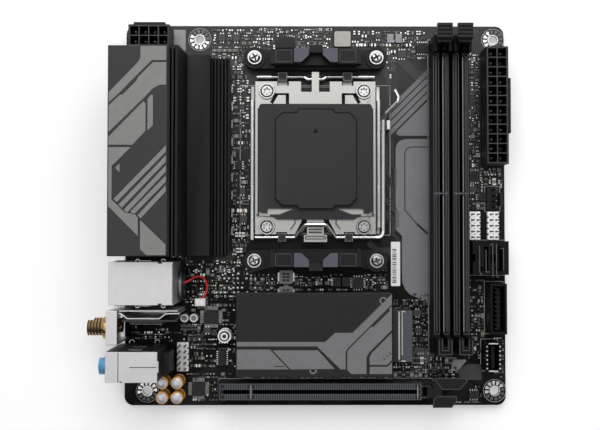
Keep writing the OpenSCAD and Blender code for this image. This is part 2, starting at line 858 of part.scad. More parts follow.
module vrm_thermal_pads() {
  color("#8f8f98") on_board() {
    block([29.6, 38.2], [70, 150], [1, 1.6]);
    block([39.4, 46.2], [70, 150], [7, 7.6]);
  }
}

module vrm_chokes() {
  color("#4a4a4c") on_board()
    for (i = [0 : 9]) soft_block([39.4, 46.2], [70.4 + i * 8, 77.2 + i * 8], [0, 7], 0.8);
}

module power_stages() {
  color("#17171a") on_board()
    for (i = [0 : 9]) block([31, 36], [71 + i * 8, 77 + i * 8], [0, 1]);
}

// ---------- wireless and audio ----------

module wifi_bracket() {
  x0 = -2.8;
  color("#c4c3c4") on_board()
    difference() {
      block([x0, 1.9], [29.8, 44], [0, 29.5]);
      block([x0 + 1, 3], [30.6, 43.2], [-1, 28.7]);
      for (z = [8.5, 21.5]) x_rod(x0 - 1, 3, 36.4, z, 3.3);
    }
}

module wifi_cage() {
  t = 0.5;
  color("#b9b9ba") on_board() {
    block([2.4, 27], [43.6, 43.6 + t], [0.8, 28]);
    // bent side sheet
    translate([0, 0, 0.8]) linear_extrude(27.2)
      polygon([[2, 43.1], [3.5, 42.9], [6, 40.9], [19.2, 40.9], [21.7, 42.9], [27.6, 43.1],
               [27.6, 43.1 - t], [21.9, 42.4], [19.4, 40.4], [5.8, 40.4], [3.3, 42.4], [2, 42.6]]);
    block([2.4, 25], [39.2, 44.1], [0, 0.8]);
  }
}

module wifi_card() {
  color("#1d3b2c") on_board() {
    block([3.6, 25.6], [39.3, 40.1], [5.2, 28]);
    block([6, 20], [37.9, 39.3], [9, 23]);
  }
}

module antenna_connectors() {
  x0 = -2.8;
  color("goldenrod") on_board()
    for (z = [8.5, 21.5])
      difference() {
        union() {
          x_rod(-11.6, x0, 36.4, z, antenna_r);
          x_rod(x0 - 2.2, x0, 36.4, z, 4.6);
          x_rod(x0 - eps, 0.6, 36.4, z, 3.2);
        }
        x_rod(-12.5, -7, 36.4, z, 2.3);
      }
}

jack_heights = [6.2, 17.6, 29];
// where each socket ends inside the block
jack_ends = [12.4, 11.6, 10.8];
audio_y = 21.2;

module audio_core() {
  color("#19191a") on_board()
    difference() {
      union() {
        block([-1.6, 18.6], [audio_y - 5.6, audio_y + 5.6], [0, 33.2]);
        block([18.6, 22.6], [audio_y - 4.4, audio_y + 4.4], [0, 20]);
      }
      for (i = [0 : 2]) {
        x_rod(-3, jack_ends[i], audio_y, jack_heights[i], jack_r);
        x_rod(-3, 0.4, audio_y, jack_heights[i], 3.7);
      }
    }
}

module audio_shield() {
  t = 0.4;
  color("#cbcacb") on_board()
    difference() {
      block([-2.1, 19.3], [audio_y - 6.3, audio_y + 6.3], [1, 33.8]);
      block([-1.7, 18.7], [audio_y - 6.3 + t, audio_y + 6.3 - t], [0, 33.3]);
      block([18, 20], [audio_y - 5, audio_y + 5], [0, 21]);
      for (z = jack_heights) x_rod(-3, 0, audio_y, z, 3.7);
    }
}

module jack_rings() {
  for (i = [0 : 2])
    color(["hotpink", "yellowgreen", "steelblue"][i]) on_board()
      difference() {
        x_rod(-5.2, 0.3, audio_y, jack_heights[i], 3.5);
        x_rod(-6, 1, audio_y, jack_heights[i], jack_r);
      }
}

module audio_capacitors() {
  color("#c8912e") on_board()
    for (x = [18, 24.5])
      for (y = [4.9, 11.3])
        translate([x, y, 0]) {
          cylinder(r = 2.6, h = 9.9);
          translate([0, 0, 9.9]) cylinder(r = 2.2, h = 0.7);
          translate([0, 0, 10.6]) cylinder(r1 = 2.2, r2 = 1.8, h = 0.4);
        }
}

module battery() {
  color("#1a1a1c") on_board() x_rod(24.9, 27.2, 53.9, 6.4, 6.3);
}

// Two thin leads from the cell to its plug, held along their whole way.
battery_red = [[27.2, 55, 9.5], [28.2, 55, 9.5], [29.8, 56.5, 8], [31, 57.5, 5.5], [33.5, 57, 3], [36.2, 54.5, 2.2],
  [36.6, 51.5, 2.4], [35.4, 49.4, 3], [34.6, 47.8, 3.2]];
battery_black = [[27.2, 53, 9], [28, 53, 9], [29.2, 53.4, 7], [30.2, 53, 4.5], [31.5, 51.4, 2.6], [32.4, 49.6, 2.8],
  [32.8, 47.8, 3.2]];

module battery_leads() {
  color("red") on_board() sweep(rounded_route(battery_red, 0.6), 0.5, 8);
  color("black") on_board() sweep(rounded_route(battery_black, 0.5), 0.5, 8);
}

module battery_plug() {
  color("#e3e2dc") on_board() block([31.6, 36.2], [44.4, 47.7], [0, 5]);
}

// ---------- storage and chipset ----------

sink_x = [50.4, 118.1];
sink_y = [14.4, 50.4];
sink_screws = [[83.7, 17.2], [114.1, 47.3]];
bay_top = m2_sink_h - 4;
bay_bottom = 4.9;

module m2_heatsink() {
  color("#2b2b2d") on_board()
    difference() {
      union() {
        block(sink_x, sink_y, [bay_top, m2_sink_h]);
        block(sink_x, [sink_y[0], m2_y - 11.8], [bay_bottom, bay_top + eps]);
        block(sink_x, [m2_y + 12.4, sink_y[1]], [bay_bottom, bay_top + eps]);
      }
      for (p = sink_screws) {
        translate([p[0], p[1], 0]) cylinder(r = 1.6, h = 30);
        translate([p[0], p[1], m2_sink_h - 1.2]) cylinder(r = 2.4, h = 30);
      }
    }
}

module chipset_heatsink() {
  color("#3a3a3c") on_board()
    difference() {
      union() {
        block(sink_x, sink_y, [bay_bottom - 2.4, bay_bottom]);
        for (p = sink_screws) translate([p[0], p[1], 0]) cylinder(r = 2.6, h = bay_bottom - 1);
        // feet under the far corners
        for (p = [[54, 17.2], [54, 47.3]]) translate([p[0], p[1], 0]) cylinder(r = 2.6, h = 3);
      }
      for (p = sink_screws) translate([p[0], p[1], -1]) cylinder(r = 1.35, h = 30);
    }
}

module heatsink_screws() {
  color("#1d1d1f") on_board()
    for (p = sink_screws)
      translate([p[0], p[1], 0]) {
        translate([0, 0, 0.4]) cylinder(r = 1.3, h = m2_sink_h - 1.6);
        difference() {
          translate([0, 0, m2_sink_h - 1.2]) cylinder(r = 2.2, h = 1.1);
          translate([0, 0, m2_sink_h - 0.7]) cylinder(r = 0.9, h = 3, $fn = 6);
        }
      }
}

module chipset() {
  color("#20242a") on_board() {
    block([76, 95], [21.7, 40.7], [0, 1.2]);
    block([81, 90], [26.7, 35.7], [1.2, 2]);
    block([80.5, 90.5], [26.2, 36.2], [2, 2.5]);
  }
}

module m2_connectors() {
  color("#3b4652") on_board()
    difference() {
      block([118.8, 127.4], [m2_y - 11, m2_y + 11.4], [0, 8.5]);
      block([118, 124.6], [m2_y - 9.9, m2_y + 10.3], [m2_card_z - 0.9, m2_card_z + 0.9]);
      block([118, 121], [m2_y - 9.9, m2_y + 10.3], [m2_card_z + 0.8, 9]);
    }
  // upright socket of the wireless card
  color("#1c1c1e") on_board() block([4, 24], [37.4, 40.3], [0.8, 5.2]);
}

module m2_standoff() {
  color("silver") on_board() translate([44.8, m2_y, 0])
    difference() {
      union() {
        cylinder(r = 2.9, h = 5.8, $fn = 64);
        translate([0, 0, 5.8]) cylinder(r = 1.7, h = 0.8);
      }
      translate([0, 0, 1.5]) cylinder(r = 0.8, h = 10);
    }
}

// ---------- small parts ----------

// Flat chip packages: corner x and y, size x and y, height.
chip_places = [[35.2, 36.2, 6.6, 6.2, 1.2], [30.1, 4.3, 5.8, 6.2, 1.2], [41.7, 17.6, 3.6, 7, 1.5],
  [49, 105, 3.1, 4.4, 1], [67.3, 160, 8.1, 4.4, 1], [130.4, 157.8, 5.2, 4.5, 1],
  [92.9, 52.8, 3.5, 4.2, 1], [97, 52.8, 3.5, 4.2, 1], [101.5, 51.8, 5.1, 5.2, 1],
  [154.1, 99.7, 4.7, 4.9, 1], [157.9, 91.1, 3.4, 3.5, 1], [153.4, 2.8, 4.5, 3.5, 1.2],
  [93.4, 160.4, 7.6, 7.2, 1.2]];

module ic_packages() {
  color("#1e1e20") on_board()
    for (c = chip_places) block([c[0], c[0] + c[2]], [c[1], c[1] + c[3]], [0, c[4]]);
}

module power_inductors() {
  color("#77777a") on_board() {
    for (y = [46.9, 54.1]) soft_block([68.9, 75], [y, y + 6], [0, 2.4], 0.6);
    for (x = [27.1, 31.2]) translate([x, 39.1, 0]) cylinder(r = 1.9, h = 5);
  }
}

pcb();
solder_joints();
cooler_backplate();
backplate_insulator();
socket_body();
socket_contacts();
socket_frame();
socket_screws();
hinge_wire();
load_plate();
socket_lever();
socket_cap();
cooler_bracket_upper();
cooler_bracket_lower();
bracket_screws();
dimm_slot_1();
dimm_slot_2();
dimm_contacts();
dimm_latch_1();
dimm_latch_2();
pcie_slot();
pcie_contacts();
pcie_latch();
atx_header();
eps_header();
power_pins();
io_cover();
vrm_heatsink();
vrm_thermal_pads();
vrm_chokes();
power_stages();
usb_ports();
display_ports();
lan_usb_port();
port_tongues();
wifi_bracket();
wifi_cage();
wifi_card();
antenna_connectors();
audio_core();
audio_shield();
jack_rings();
audio_capacitors();
battery();
battery_leads();
battery_plug();
sata_ports();
usb3_header();
usb_c_header();
pin_headers();
header_pins();
fan_header();
m2_heatsink();
chipset_heatsink();
heatsink_screws();
chipset();
m2_connectors();
m2_standoff();
ic_packages();
power_inductors();
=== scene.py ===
"""Looks of a small square computer board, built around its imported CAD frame.

Places are in board millimetres: X and Y from the board's low corner, Z from its top face.
"""

import json
import math
import random

import bpy
from mathutils import Matrix, Vector


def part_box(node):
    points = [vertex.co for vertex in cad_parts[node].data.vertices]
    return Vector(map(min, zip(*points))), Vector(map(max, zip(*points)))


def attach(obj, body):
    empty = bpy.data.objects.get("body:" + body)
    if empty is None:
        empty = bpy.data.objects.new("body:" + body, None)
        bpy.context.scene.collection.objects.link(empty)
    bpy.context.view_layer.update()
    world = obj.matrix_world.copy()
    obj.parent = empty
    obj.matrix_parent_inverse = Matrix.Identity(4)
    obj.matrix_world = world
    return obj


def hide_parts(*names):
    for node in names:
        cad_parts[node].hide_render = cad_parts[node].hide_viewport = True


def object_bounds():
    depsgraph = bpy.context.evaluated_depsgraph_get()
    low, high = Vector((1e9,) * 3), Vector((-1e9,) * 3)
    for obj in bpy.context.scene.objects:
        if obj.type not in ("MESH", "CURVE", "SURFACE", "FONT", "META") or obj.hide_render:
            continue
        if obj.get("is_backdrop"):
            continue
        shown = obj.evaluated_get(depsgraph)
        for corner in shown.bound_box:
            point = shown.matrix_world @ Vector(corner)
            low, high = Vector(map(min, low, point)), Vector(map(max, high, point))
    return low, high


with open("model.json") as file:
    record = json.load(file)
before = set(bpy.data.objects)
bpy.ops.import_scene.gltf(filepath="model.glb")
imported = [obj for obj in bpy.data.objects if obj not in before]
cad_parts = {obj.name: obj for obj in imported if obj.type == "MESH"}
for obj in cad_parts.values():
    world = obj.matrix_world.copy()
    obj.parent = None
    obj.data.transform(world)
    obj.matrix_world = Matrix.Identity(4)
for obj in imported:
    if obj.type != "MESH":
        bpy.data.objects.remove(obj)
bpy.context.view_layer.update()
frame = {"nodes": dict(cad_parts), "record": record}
nodes = frame["nodes"]

MM = 0.001
board_low, board_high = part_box("pcb")
BOARD_W = (board_high.x - board_low.x) / MM
BOARD_T = (board_high.z - board_low.z) / MM
FLAT = 0.03  # how far print stands above its face
SMOOTH_BELOW = math.radians(38)  # faces that meet at less than this are shaded as one
ROUND_ABOVE = math.radians(50)  # edges sharper than this get a piece's rounding
USUAL_EDGE = 0.12  # rounding of a CAD node's edges, where EDGES says nothing else
TOP_ROW = 150  # the chips in the row along the top edge stand above this Y
rng = random.Random(11)


def place(x, y, z):
    """A point in board millimetres as a point of the frame."""
    return Vector((board_low.x + x * MM, board_low.y + y * MM, board_high.z + z * MM))


def span(node):
    """The ranges of a CAD node along X, Y and Z, in board millimetres."""
    low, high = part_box(node)
    origin = (board_low.x, board_low.y, board_high.z)
    return [((low[i] - origin[i]) / MM, (high[i] - origin[i]) / MM) for i in range(3)]


def skin(face, rise=0.04):
    """The lower and upper height of a thin shape on a face, rooted just below it."""
    return face - 0.02, face + rise


def islands(node):
    """The ranges of each separate solid of a CAD node, in board millimetres."""
    mesh = nodes[node].data
    key = [tuple(round(c, 6) for c in v.co) for v in mesh.vertices]
    group = {}

    def root(k):
        """The point that stands for all the points joined to one."""
        while group.setdefault(k, k) != k:
            k = group[k]
        return k

    for face in mesh.polygons:
        first = root(key[face.vertices[0]])
        for v in face.vertices[1:]:
            group[root(key[v])] = first
    found = {}
    for k in set(key):
        found.setdefault(root(k), []).append(k)
    origin = (board_low.x, board_low.y, board_high.z)
    ranges = []
    for points in found.values():
        ranges.append([((min(p[i] for p in points) - origin[i]) / MM,
                        (max(p[i] for p in points) - origin[i]) / MM) for i in range(3)])
    return sorted(ranges)


def uprights(node):
    """The centre, radius and top of each separate round solid of a CAD node."""
    return [((x0 + x1) / 2, (y0 + y1) / 2, (x1 - x0) / 2, top)
            for (x0, x1), (y0, y1), (_, top) in islands(node)]


# ---------- shapes ----------


class Shape:
    """Closed solids in board millimetres, gathered to become one piece."""

    def __init__(self):
        self.points = []
        self.faces = []

    def rings(self, rings, closed_ends=True):
        """Joins rings of points, each the same length, into one solid."""
        start = len(self.points)
        count = len(rings[0])
        for ring in rings:
            self.points += [tuple(p) for p in ring]
        for i in range(len(rings) - 1):
            a = start + i * count
            for k in range(count):
                j = (k + 1) % count
                self.faces.append((a + k, a + j, a + count + j, a + count + k))
        if closed_ends:
            last = start + (len(rings) - 1) * count
            self.faces.append(tuple(range(start + count - 1, start - 1, -1)))
            self.faces.append(tuple(range(last, last + count)))

    def prism(self, outline, z0, z1):
        """An outline in X and Y, raised from one height to another."""
        area = sum(a[0] * b[1] - b[0] * a[1] for a, b in zip(outline, outline[1:] + outline[:1]))
        points = outline if area > 0 else outline[::-1]
        self.rings([[(x, y, z0) for x, y in points], [(x, y, z1) for x, y in points]])

    def box(self, x0, x1, y0, y1, z0, z1):
        """A block between two corners."""
        self.prism([(x0, y0), (x1, y0), (x1, y1), (x0, y1)], z0, z1)

    def bar(self, x, y, half_x, half_y, z0, z1):
        """A block centred on a point."""
        self.box(x - half_x, x + half_x, y - half_y, y + half_y, z0, z1)

    def turned(self, x, y, profile, sides=28):
        """A solid of revolution about Z, from its (radius, height) profile, low end first."""
        turn = [2 * math.pi * k / sides for k in range(sides)]
        self.rings([[(x + r * math.cos(t), y + r * math.sin(t), z) for t in turn] for r, z in profile])

    def turned_x(self, y, z, profile, sides=32):
        """A solid of revolution about X, from its (radius, x) profile, low end first."""
        turn = [2 * math.pi * k / sides for k in range(sides)]
        self.rings([[(x, y + r * math.cos(t), z + r * math.sin(t)) for t in turn] for r, x in profile])

    def arc_band(self, x, y, inner, outer, z0, z1, start=0.0, sweep=360.0, steps=32):
        """A flat ring, or a part of one, between two radii."""
        closed = sweep >= 360
        angles = [math.radians(start + sweep * i / steps) for i in range(steps if closed else steps + 1)]
        rings = []
        for t in angles:
            c, s = math.cos(t), math.sin(t)
            corners = ((inner, z0), (inner, z1), (outer, z1), (outer, z0))
            rings.append([(x + r * c, y + r * s, z) for r, z in corners])
        if closed:
            rings.append(rings[0])
        self.rings(rings, closed_ends=not closed)

    def band(self, path, width, z0, z1):
        """A flat strip along a path, with its corners kept sharp."""
        self.prism(side_path(path, width / 2) + side_path(path, -width / 2)[::-1], z0, z1)

    def tube(self, path, radius, sides=10):
        """A round tube along a path of 3-D points."""
        points = [Vector(p) for p in path]
        rings = []
        for i, p in enumerate(points):
            ahead = points[min(i + 1, len(points) - 1)] - points[max(i - 1, 0)]
            u = ahead.cross(Vector((0, 0, 1))).normalized()
            v = u.cross(ahead.normalized())
            turn = [2 * math.pi * k / sides for k in range(sides)]
            rings.append([p + radius * (math.cos(t) * u + math.sin(t) * v) for t in turn])
        self.rings(rings)


def side_path(path, distance):
    """The path moved sideways, with mitred corners."""
    moved = []
    for i, p in enumerate(path):
        before = unit(path[max(i - 1, 0)], path[max(i, 1)])
        after = unit(path[min(i, len(path) - 2)], path[min(i + 1, len(path) - 1)])
        nx, ny = -(before[1] + after[1]) / 2, (before[0] + after[0]) / 2
        scale = distance / max(nx * nx + ny * ny, 0.2)
        moved.append((p[0] + nx * scale, p[1] + ny * scale))
    return moved


def unit(a, b):
    """The direction from one 2-D point to another."""
    length = math.hypot(b[0] - a[0], b[1] - a[1]) or 1.0
    return ((b[0] - a[0]) / length, (b[1] - a[1]) / length)


def grown(outline, distance):
    """A closed outline moved outwards by a distance, with mitred corners."""
    area = sum(a[0] * b[1] - b[0] * a[1] for a, b in zip(outline, outline[1:] + outline[:1]))
    sign = -1 if area > 0 else 1
    wrapped = outline[-1:] + outline + outline[:1]
    return side_path(wrapped, sign * distance)[1:-1]


def chamfered(x0, x1, y0, y1, cut):
    """A rectangle with its corners cut off."""
    return [(x0 + cut, y0), (x1 - cut, y0), (x1, y0 + cut), (x1, y1 - cut),
            (x1 - cut, y1), (x0 + cut, y1), (x0, y1 - cut), (x0, y0 + cut)]


def shifted(outline, dx, dy):
    """An outline moved across the board."""
    return [(x + dx, y + dy) for x, y in outline]


def piece(shape, name, material, body="board", bevel=0.0, segments=1):
    """Makes one Blender object of a shape and rides it on a body."""
    mesh = bpy.data.meshes.new(name)
    mesh.from_pydata([place(*p) for p in shape.points], [], shape.faces)
    mesh.validate()
    mesh.update()
    mesh.shade_smooth()
    mesh.set_sharp_from_angle(angle=SMOOTH_BELOW)
    mesh.materials.append(material)
    made = bpy.data.objects.new(name, mesh)
    bpy.context.scene.collection.objects.link(made)
    if bevel:
        rounding = made.modifiers.new("edges", "BEVEL")
        rounding.width = bevel * MM
        rounding.segments = segments
        rounding.limit_method = "ANGLE"
        rounding.angle_limit = ROUND_ABOVE
    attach(made, body)
    return made


# ---------- materials ----------


def mixed(tree, factor, low, high):
    """A colour between two others, each a tuple or a node's output."""
    node = tree.nodes.new("ShaderNodeMix")
    node.data_type = "RGBA"
    tree.links.new(factor, node.inputs[0])
    for socket, value in ((node.inputs[6], low), (node.inputs[7], high)):
        if isinstance(value, tuple):
            socket.default_value = (*value, 1)
        else:
            tree.links.new(value, socket)
    return node.outputs[2]


def noise(tree, coords, scale, detail=3.0, stretch=(1, 1, 1)):
    """Noise whose scale counts features per millimetre."""
    mapping = tree.nodes.new("ShaderNodeMapping")
    mapping.inputs["Scale"].default_value = tuple(scale * s / MM for s in stretch)
    node = tree.nodes.new("ShaderNodeTexNoise")
    node.inputs["Scale"].default_value = 1.0
    node.inputs["Detail"].default_value = detail
    tree.links.new(coords, mapping.inputs["Vector"])
    tree.links.new(mapping.outputs["Vector"], node.inputs["Vector"])
    return node.outputs["Fac"]


def ranged(tree, value, low, high, source=(0.3, 0.7)):
    """A value carried from one range to another."""
    node = tree.nodes.new("ShaderNodeMapRange")
    node.inputs["From Min"].default_value = source[0]
    node.inputs["From Max"].default_value = source[1]
    node.inputs["To Min"].default_value = low
    node.inputs["To Max"].default_value = high
    tree.links.new(value, node.inputs["Value"])
    return node.outputs["Result"]


def bumped(tree, shader, height, strength, depth):
    """Fine relief, its depth in millimetres."""
    node = tree.nodes.new("ShaderNodeBump")
    node.inputs["Strength"].default_value = strength
    node.inputs["Distance"].default_value = depth * MM
    tree.links.new(height, node.inputs["Height"])
    tree.links.new(node.outputs["Normal"], shader.inputs["Normal"])


def started(name, rough, metal, specular=0.5, coat=0.0):
    """A new material, its node tree, its shader and the coordinates that its patterns follow."""
    material = bpy.data.materials.new(name)
    material.use_nodes = True
    tree = material.node_tree
    shader = tree.nodes["Principled BSDF"]
    shader.inputs["Metallic"].default_value = metal
    shader.inputs["Roughness"].default_value = rough
    shader.inputs["Specular IOR Level"].default_value = specular
    shader.inputs["Coat Weight"].default_value = coat
    coords = tree.nodes.new("ShaderNodeTexCoord").outputs["Object"]
    return material, tree, shader, coords


def surface(name, colour, rough, metal=0.0, spread=0.15, grain=0.35, fine=7.0, bump=0.25, depth=0.02,
            stretch=(1, 1, 1), specular=0.5, coat=0.0, wear=0.0):
    """A surface with broad colour variation, a fine grain in its gloss and relief, and worn edges."""
    material, tree, shader, coords = started(name, rough, metal, specular, coat)
    broad = noise(tree, coords, grain, 4.0)
    tight = noise(tree, coords, fine, 3.0, stretch)
    both = mixed(tree, ranged(tree, tight, 0.35, 0.65), broad, tight)
    dark = tuple(c * (1 - spread) for c in colour)
    light = tuple(c * (1 + spread) for c in colour)
    shade = mixed(tree, ranged(tree, both, 0, 1), dark, light)
    if wear:
        edge = tree.nodes.new("ShaderNodeNewGeometry").outputs["Pointiness"]
        worn = tuple(min(1.0, c * 1.6 + wear * 0.12) for c in colour)
        shade = mixed(tree, ranged(tree, edge, 0, wear, (0.52, 0.6)), shade, worn)
    tree.links.new(shade, shader.inputs["Base Color"])
    low, high = max(0.03, rough - 0.08), min(1.0, rough + 0.08)
    tree.links.new(ranged(tree, tight, low, high), shader.inputs["Roughness"])
    bumped(tree, shader, tight, bump, depth)
    return material


def solder_mask():
    """Dark mask with the faint relief of buried traces running straight and at 45 degrees."""
    material, tree, shader, coords = started("board_mask", 0.4, 0.0, 0.4)
    patch = tree.nodes.new("ShaderNodeTexVoronoi")
    patch.inputs["Scale"].default_value = 0.085 / MM
    tree.links.new(coords, patch.inputs["Vector"])
    choice = tree.nodes.new("ShaderNodeSeparateColor")
    tree.links.new(patch.outputs["Color"], choice.inputs["Color"])
    lines = []
    for turn in (45, -45):
        mapping = tree.nodes.new("ShaderNodeMapping")
        mapping.inputs["Rotation"].default_value = (0, 0, math.radians(turn))
        wave = tree.nodes.new("ShaderNodeTexWave")
        wave.inputs["Scale"].default_value = 0.42 / MM
        wave.inputs["Distortion"].default_value = 0.0
        tree.links.new(coords, mapping.inputs["Vector"])
        tree.links.new(mapping.outputs["Vector"], wave.inputs["Vector"])
        lines.append(ranged(tree, wave.outputs["Fac"], 0, 1, (0.55, 0.75)))
    pick = ranged(tree, choice.outputs["Red"], 0, 1, (0.49, 0.51))
    traces = mixed(tree, pick, lines[0], lines[1])
    covered = ranged(tree, choice.outputs["Green"], 0, 1, (0.54, 0.56))
    traces = mixed(tree, covered, (0.0, 0.0, 0.0), traces)
    base = mixed(tree, noise(tree, coords, 0.05, 3.0), (0.006, 0.0058, 0.0054), (0.014, 0.0134, 0.0124))
    shade = mixed(tree, traces, base, (0.032, 0.03, 0.028))
    tree.links.new(shade, shader.inputs["Base Color"])
    bumped(tree, shader, traces, 0.35, 0.03)
    tight = noise(tree, coords, 3.0)
    tree.links.new(ranged(tree, tight, 0.3, 0.42), shader.inputs["Roughness"])
    # Specular level rises towards the board's upper edge, so the top of the board reflects more: painted
    # highlight
    along = tree.nodes.new("ShaderNodeSeparateXYZ")
    tree.links.new(coords, along.inputs["Vector"])
    gloss = ranged(tree, along.outputs["Y"], 0.03, 0.42, (0.048, 0.14))
    tree.links.new(gloss, shader.inputs["Specular IOR Level"])
    return material


def jack_colours():
    """Moulded rings, one colour for each height of jack."""
    material, tree, shader, coords = started("jack_rings", 0.35, 0.0, 0.5)
    low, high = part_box("jack_rings")
    split = tree.nodes.new("ShaderNodeSeparateXYZ")
    tree.links.new(coords, split.inputs["Vector"])
    ramp = tree.nodes.new("ShaderNodeValToRGB")
    ramp.color_ramp.interpolation = "CONSTANT"
    colours = ((0.7, 0.16, 0.3), (0.2, 0.5, 0.1), (0.1, 0.36, 0.62))
    ramp.color_ramp.elements[1].position = 1 / 3
    ramp.color_ramp.elements.new(2 / 3)
    for element, colour in zip(ramp.color_ramp.elements, colours):
        element.color = (*colour, 1)
    tree.links.new(ranged(tree, split.outputs["Z"], 0, 1, (low.z, high.z)), ramp.inputs["Fac"])
    tight = noise(tree, coords, 4.0)
    darker = mixed(tree, ranged(tree, tight, 0, 0.25), ramp.outputs["Color"], (0.02, 0.03, 0.04))
    tree.links.new(darker, shader.inputs["Base Color"])
    tree.links.new(ranged(tree, tight, 0.28, 0.42), shader.inputs["Roughness"])
    bumped(tree, shader, tight, 0.15, 0.02)
    return material


black = surface("black_plastic", (0.007, 0.007, 0.008), 0.45, fine=5.0, bump=0.3, specular=0.25, wear=0.25)
deep_black = surface("deep_black_plastic", (0.0035, 0.0035, 0.004), 0.5, fine=5.0, bump=0.3, specular=0.16,
                     wear=0.1)
slate = surface("slate_plastic", (0.085, 0.086, 0.112), 0.5, fine=6.0)
gold = surface("gold_contact", (0.85, 0.62, 0.28), 0.24, 1.0, fine=9.0)
tin = surface("tin", (0.72, 0.72, 0.7), 0.3, 1.0, grain=1.2, fine=6.0, bump=0.35, depth=0.03, spread=0.4)
# A darker copy of tin: dull metal on vias and pin-one dots, and painted shade on contacts deep in slots and
# headers and on the petals and part ends kept out of the light
dull_tin_and_painted_shade = surface("dull_tin_and_painted_shade", (0.13, 0.13, 0.128), 0.4, 0.7, grain=0.8, fine=6.0, spread=0.35)
solder = surface("solder", (0.85, 0.85, 0.83), 0.4, 0.4, fine=5.0)
plate_steel = surface("plate_steel", (0.24, 0.235, 0.218), 0.36, 1.0, stretch=(0.08, 1.2, 1), bump=0.2,
                      spread=0.16, wear=1.0)
frame_steel = surface("frame_steel", (0.4, 0.4, 0.385), 0.36, 1.0, stretch=(1.2, 0.08, 1), bump=0.15,
                      wear=1.0)
wire_steel = surface("wire_steel", (0.84, 0.84, 0.83), 0.2, 1.0, fine=8.0, bump=0.1, spread=0.08)
screw_steel = surface("screw_steel", (0.76, 0.76, 0.75), 0.26, 1.0, fine=8.0, bump=0.15, wear=0.2)
shield = surface("shield_steel", (0.68, 0.665, 0.67), 0.42, 1.0, stretch=(1, 0.1, 1), bump=0.12, spread=0.06)
black_metal = surface("black_anodised", (0.0045, 0.0045, 0.0055), 0.5, 0.2, stretch=(1, 0.06, 1), bump=0.3,
                      specular=0.15, wear=0.5)
sink_metal = surface("grey_anodised", (0.018, 0.018, 0.019), 0.5, 0.2, stretch=(0.1, 1, 1), bump=0.2,
                     specular=0.25, wear=0.5)
cover_paint = surface("cover_paint", (0.019, 0.019, 0.0195), 0.5, fine=9.0, bump=0.35, depth=0.03,
                      specular=0.25, wear=0.5)
print_cover = surface("cover_print", (0.235, 0.235, 0.222), 0.5, 0.1, fine=7.0, bump=0.25, spread=0.1)
print_sink = surface("sink_print", (0.185, 0.186, 0.19), 0.5, 0.1, fine=7.0, bump=0.25, spread=0.1)
# Black for print and screws, also laid as painted shade in gaps, seams, grooves, notches and recesses
black_print_and_painted_shade = surface("black_print_and_painted_shade", (0.006, 0.006, 0.007), 0.5, fine=6.0)
ink_grey = surface("ink_grey", (0.185, 0.187, 0.198), 0.5, fine=5.0, spread=0.1)
ink_dark = surface("ink_dark", (0.045, 0.045, 0.048), 0.5, fine=5.0)
ink_white = surface("ink_white", (0.62, 0.62, 0.6), 0.6, fine=6.0)
cap_plastic = surface("cap_plastic", (0.023, 0.0235, 0.0245), 0.4, fine=6.0, bump=0.3, specular=0.3, wear=0.4)
epoxy = surface("chip_epoxy", (0.016, 0.016, 0.017), 0.5, fine=6.0, bump=0.4, specular=0.3)
ferrite = surface("ferrite", (0.2, 0.2, 0.197), 0.5, 0.3, fine=5.0, bump=0.5)
grey_part = surface("grey_part", (0.3, 0.3, 0.31), 0.45, 0.2, fine=5.0, bump=0.4)
tan_part = surface("tan_part", (0.3, 0.22, 0.15), 0.45, fine=6.0)
beige_part = surface("beige_part", (0.5, 0.48, 0.43), 0.5, fine=6.0)
white_plastic = surface("white_plastic", (0.9, 0.89, 0.87), 0.42, fine=5.0, spread=0.04)
sticker = surface("sticker", (0.86, 0.86, 0.85), 0.55, fine=4.0, spread=0.04)
lilac_top = surface("capacitor_top", (0.66, 0.65, 0.72), 0.34, 0.6, fine=6.0, spread=0.08)
sleeve_gold = surface("capacitor_sleeve", (0.8, 0.42, 0.09), 0.24, 0.5, fine=3.0, coat=0.5)
brass = surface("brass_plating", (0.4, 0.26, 0.115), 0.24, 1.0, fine=8.0, bump=0.2)
red_lead = surface("lead_red", (0.72, 0.02, 0.025), 0.4, fine=6.0)
thermal = surface("thermal_pad", (0.42, 0.42, 0.48), 0.8, fine=3.0, bump=0.6)
laminate = surface("laminate_edge", (0.11, 0.1, 0.07), 0.6, fine=5.0, stretch=(1, 1, 6))
# Also laid as strips beside the socket, where it stands for the shade in the gaps: painted shade
film = surface("insulating_film", (0.02, 0.02, 0.02), 0.6, fine=4.0)
painted_steel = surface("backplate_steel", (0.07, 0.07, 0.075), 0.42, 0.4, fine=4.0, bump=0.3, wear=0.5)
green_mask = surface("card_mask", (0.012, 0.014, 0.013), 0.35, fine=2.0, spread=0.3)
blue_grey = surface("blue_grey_plastic", (0.062, 0.07, 0.085), 0.45, fine=6.0, bump=0.3)
# Lighter grey laid along the top edges of dark walls, latch wings, pads and caps: painted highlights
painted_rim_highlight = surface("painted_rim_highlight", (0.075, 0.082, 0.09), 0.45, fine=6.0)
die = surface("chip_die", (0.05, 0.06, 0.075), 0.12, 0.2, fine=2.0, bump=0.05)
board_mask = solder_mask()

LOOKS = {
    "solder_mask": board_mask, "tin": solder, "backplate_steel": painted_steel, "insulating_film": film,
    "black_plastic": black, "gold_contact": gold, "frame_steel": frame_steel, "wire_steel": wire_steel,
    "plate_steel": plate_steel, "screw_steel": screw_steel, "black_screw": black_print_and_painted_shade,
    "cap_plastic": cap_plastic, "cover_paint": cover_paint, "black_anodised": black_metal,
    "grey_anodised": sink_metal, "thermal_pad": thermal, "ferrite": ferrite, "chip_epoxy": epoxy,
    "shield_steel": shield, "card_mask": green_mask, "jack_plastic": jack_colours(),
    "capacitor_sleeve": sleeve_gold, "battery_sleeve": black, "lead_insulation": red_lead,
    "white_plastic": white_plastic, "blue_grey_plastic": blue_grey, "chip_substrate": die,
    "brass_plating": brass,
}

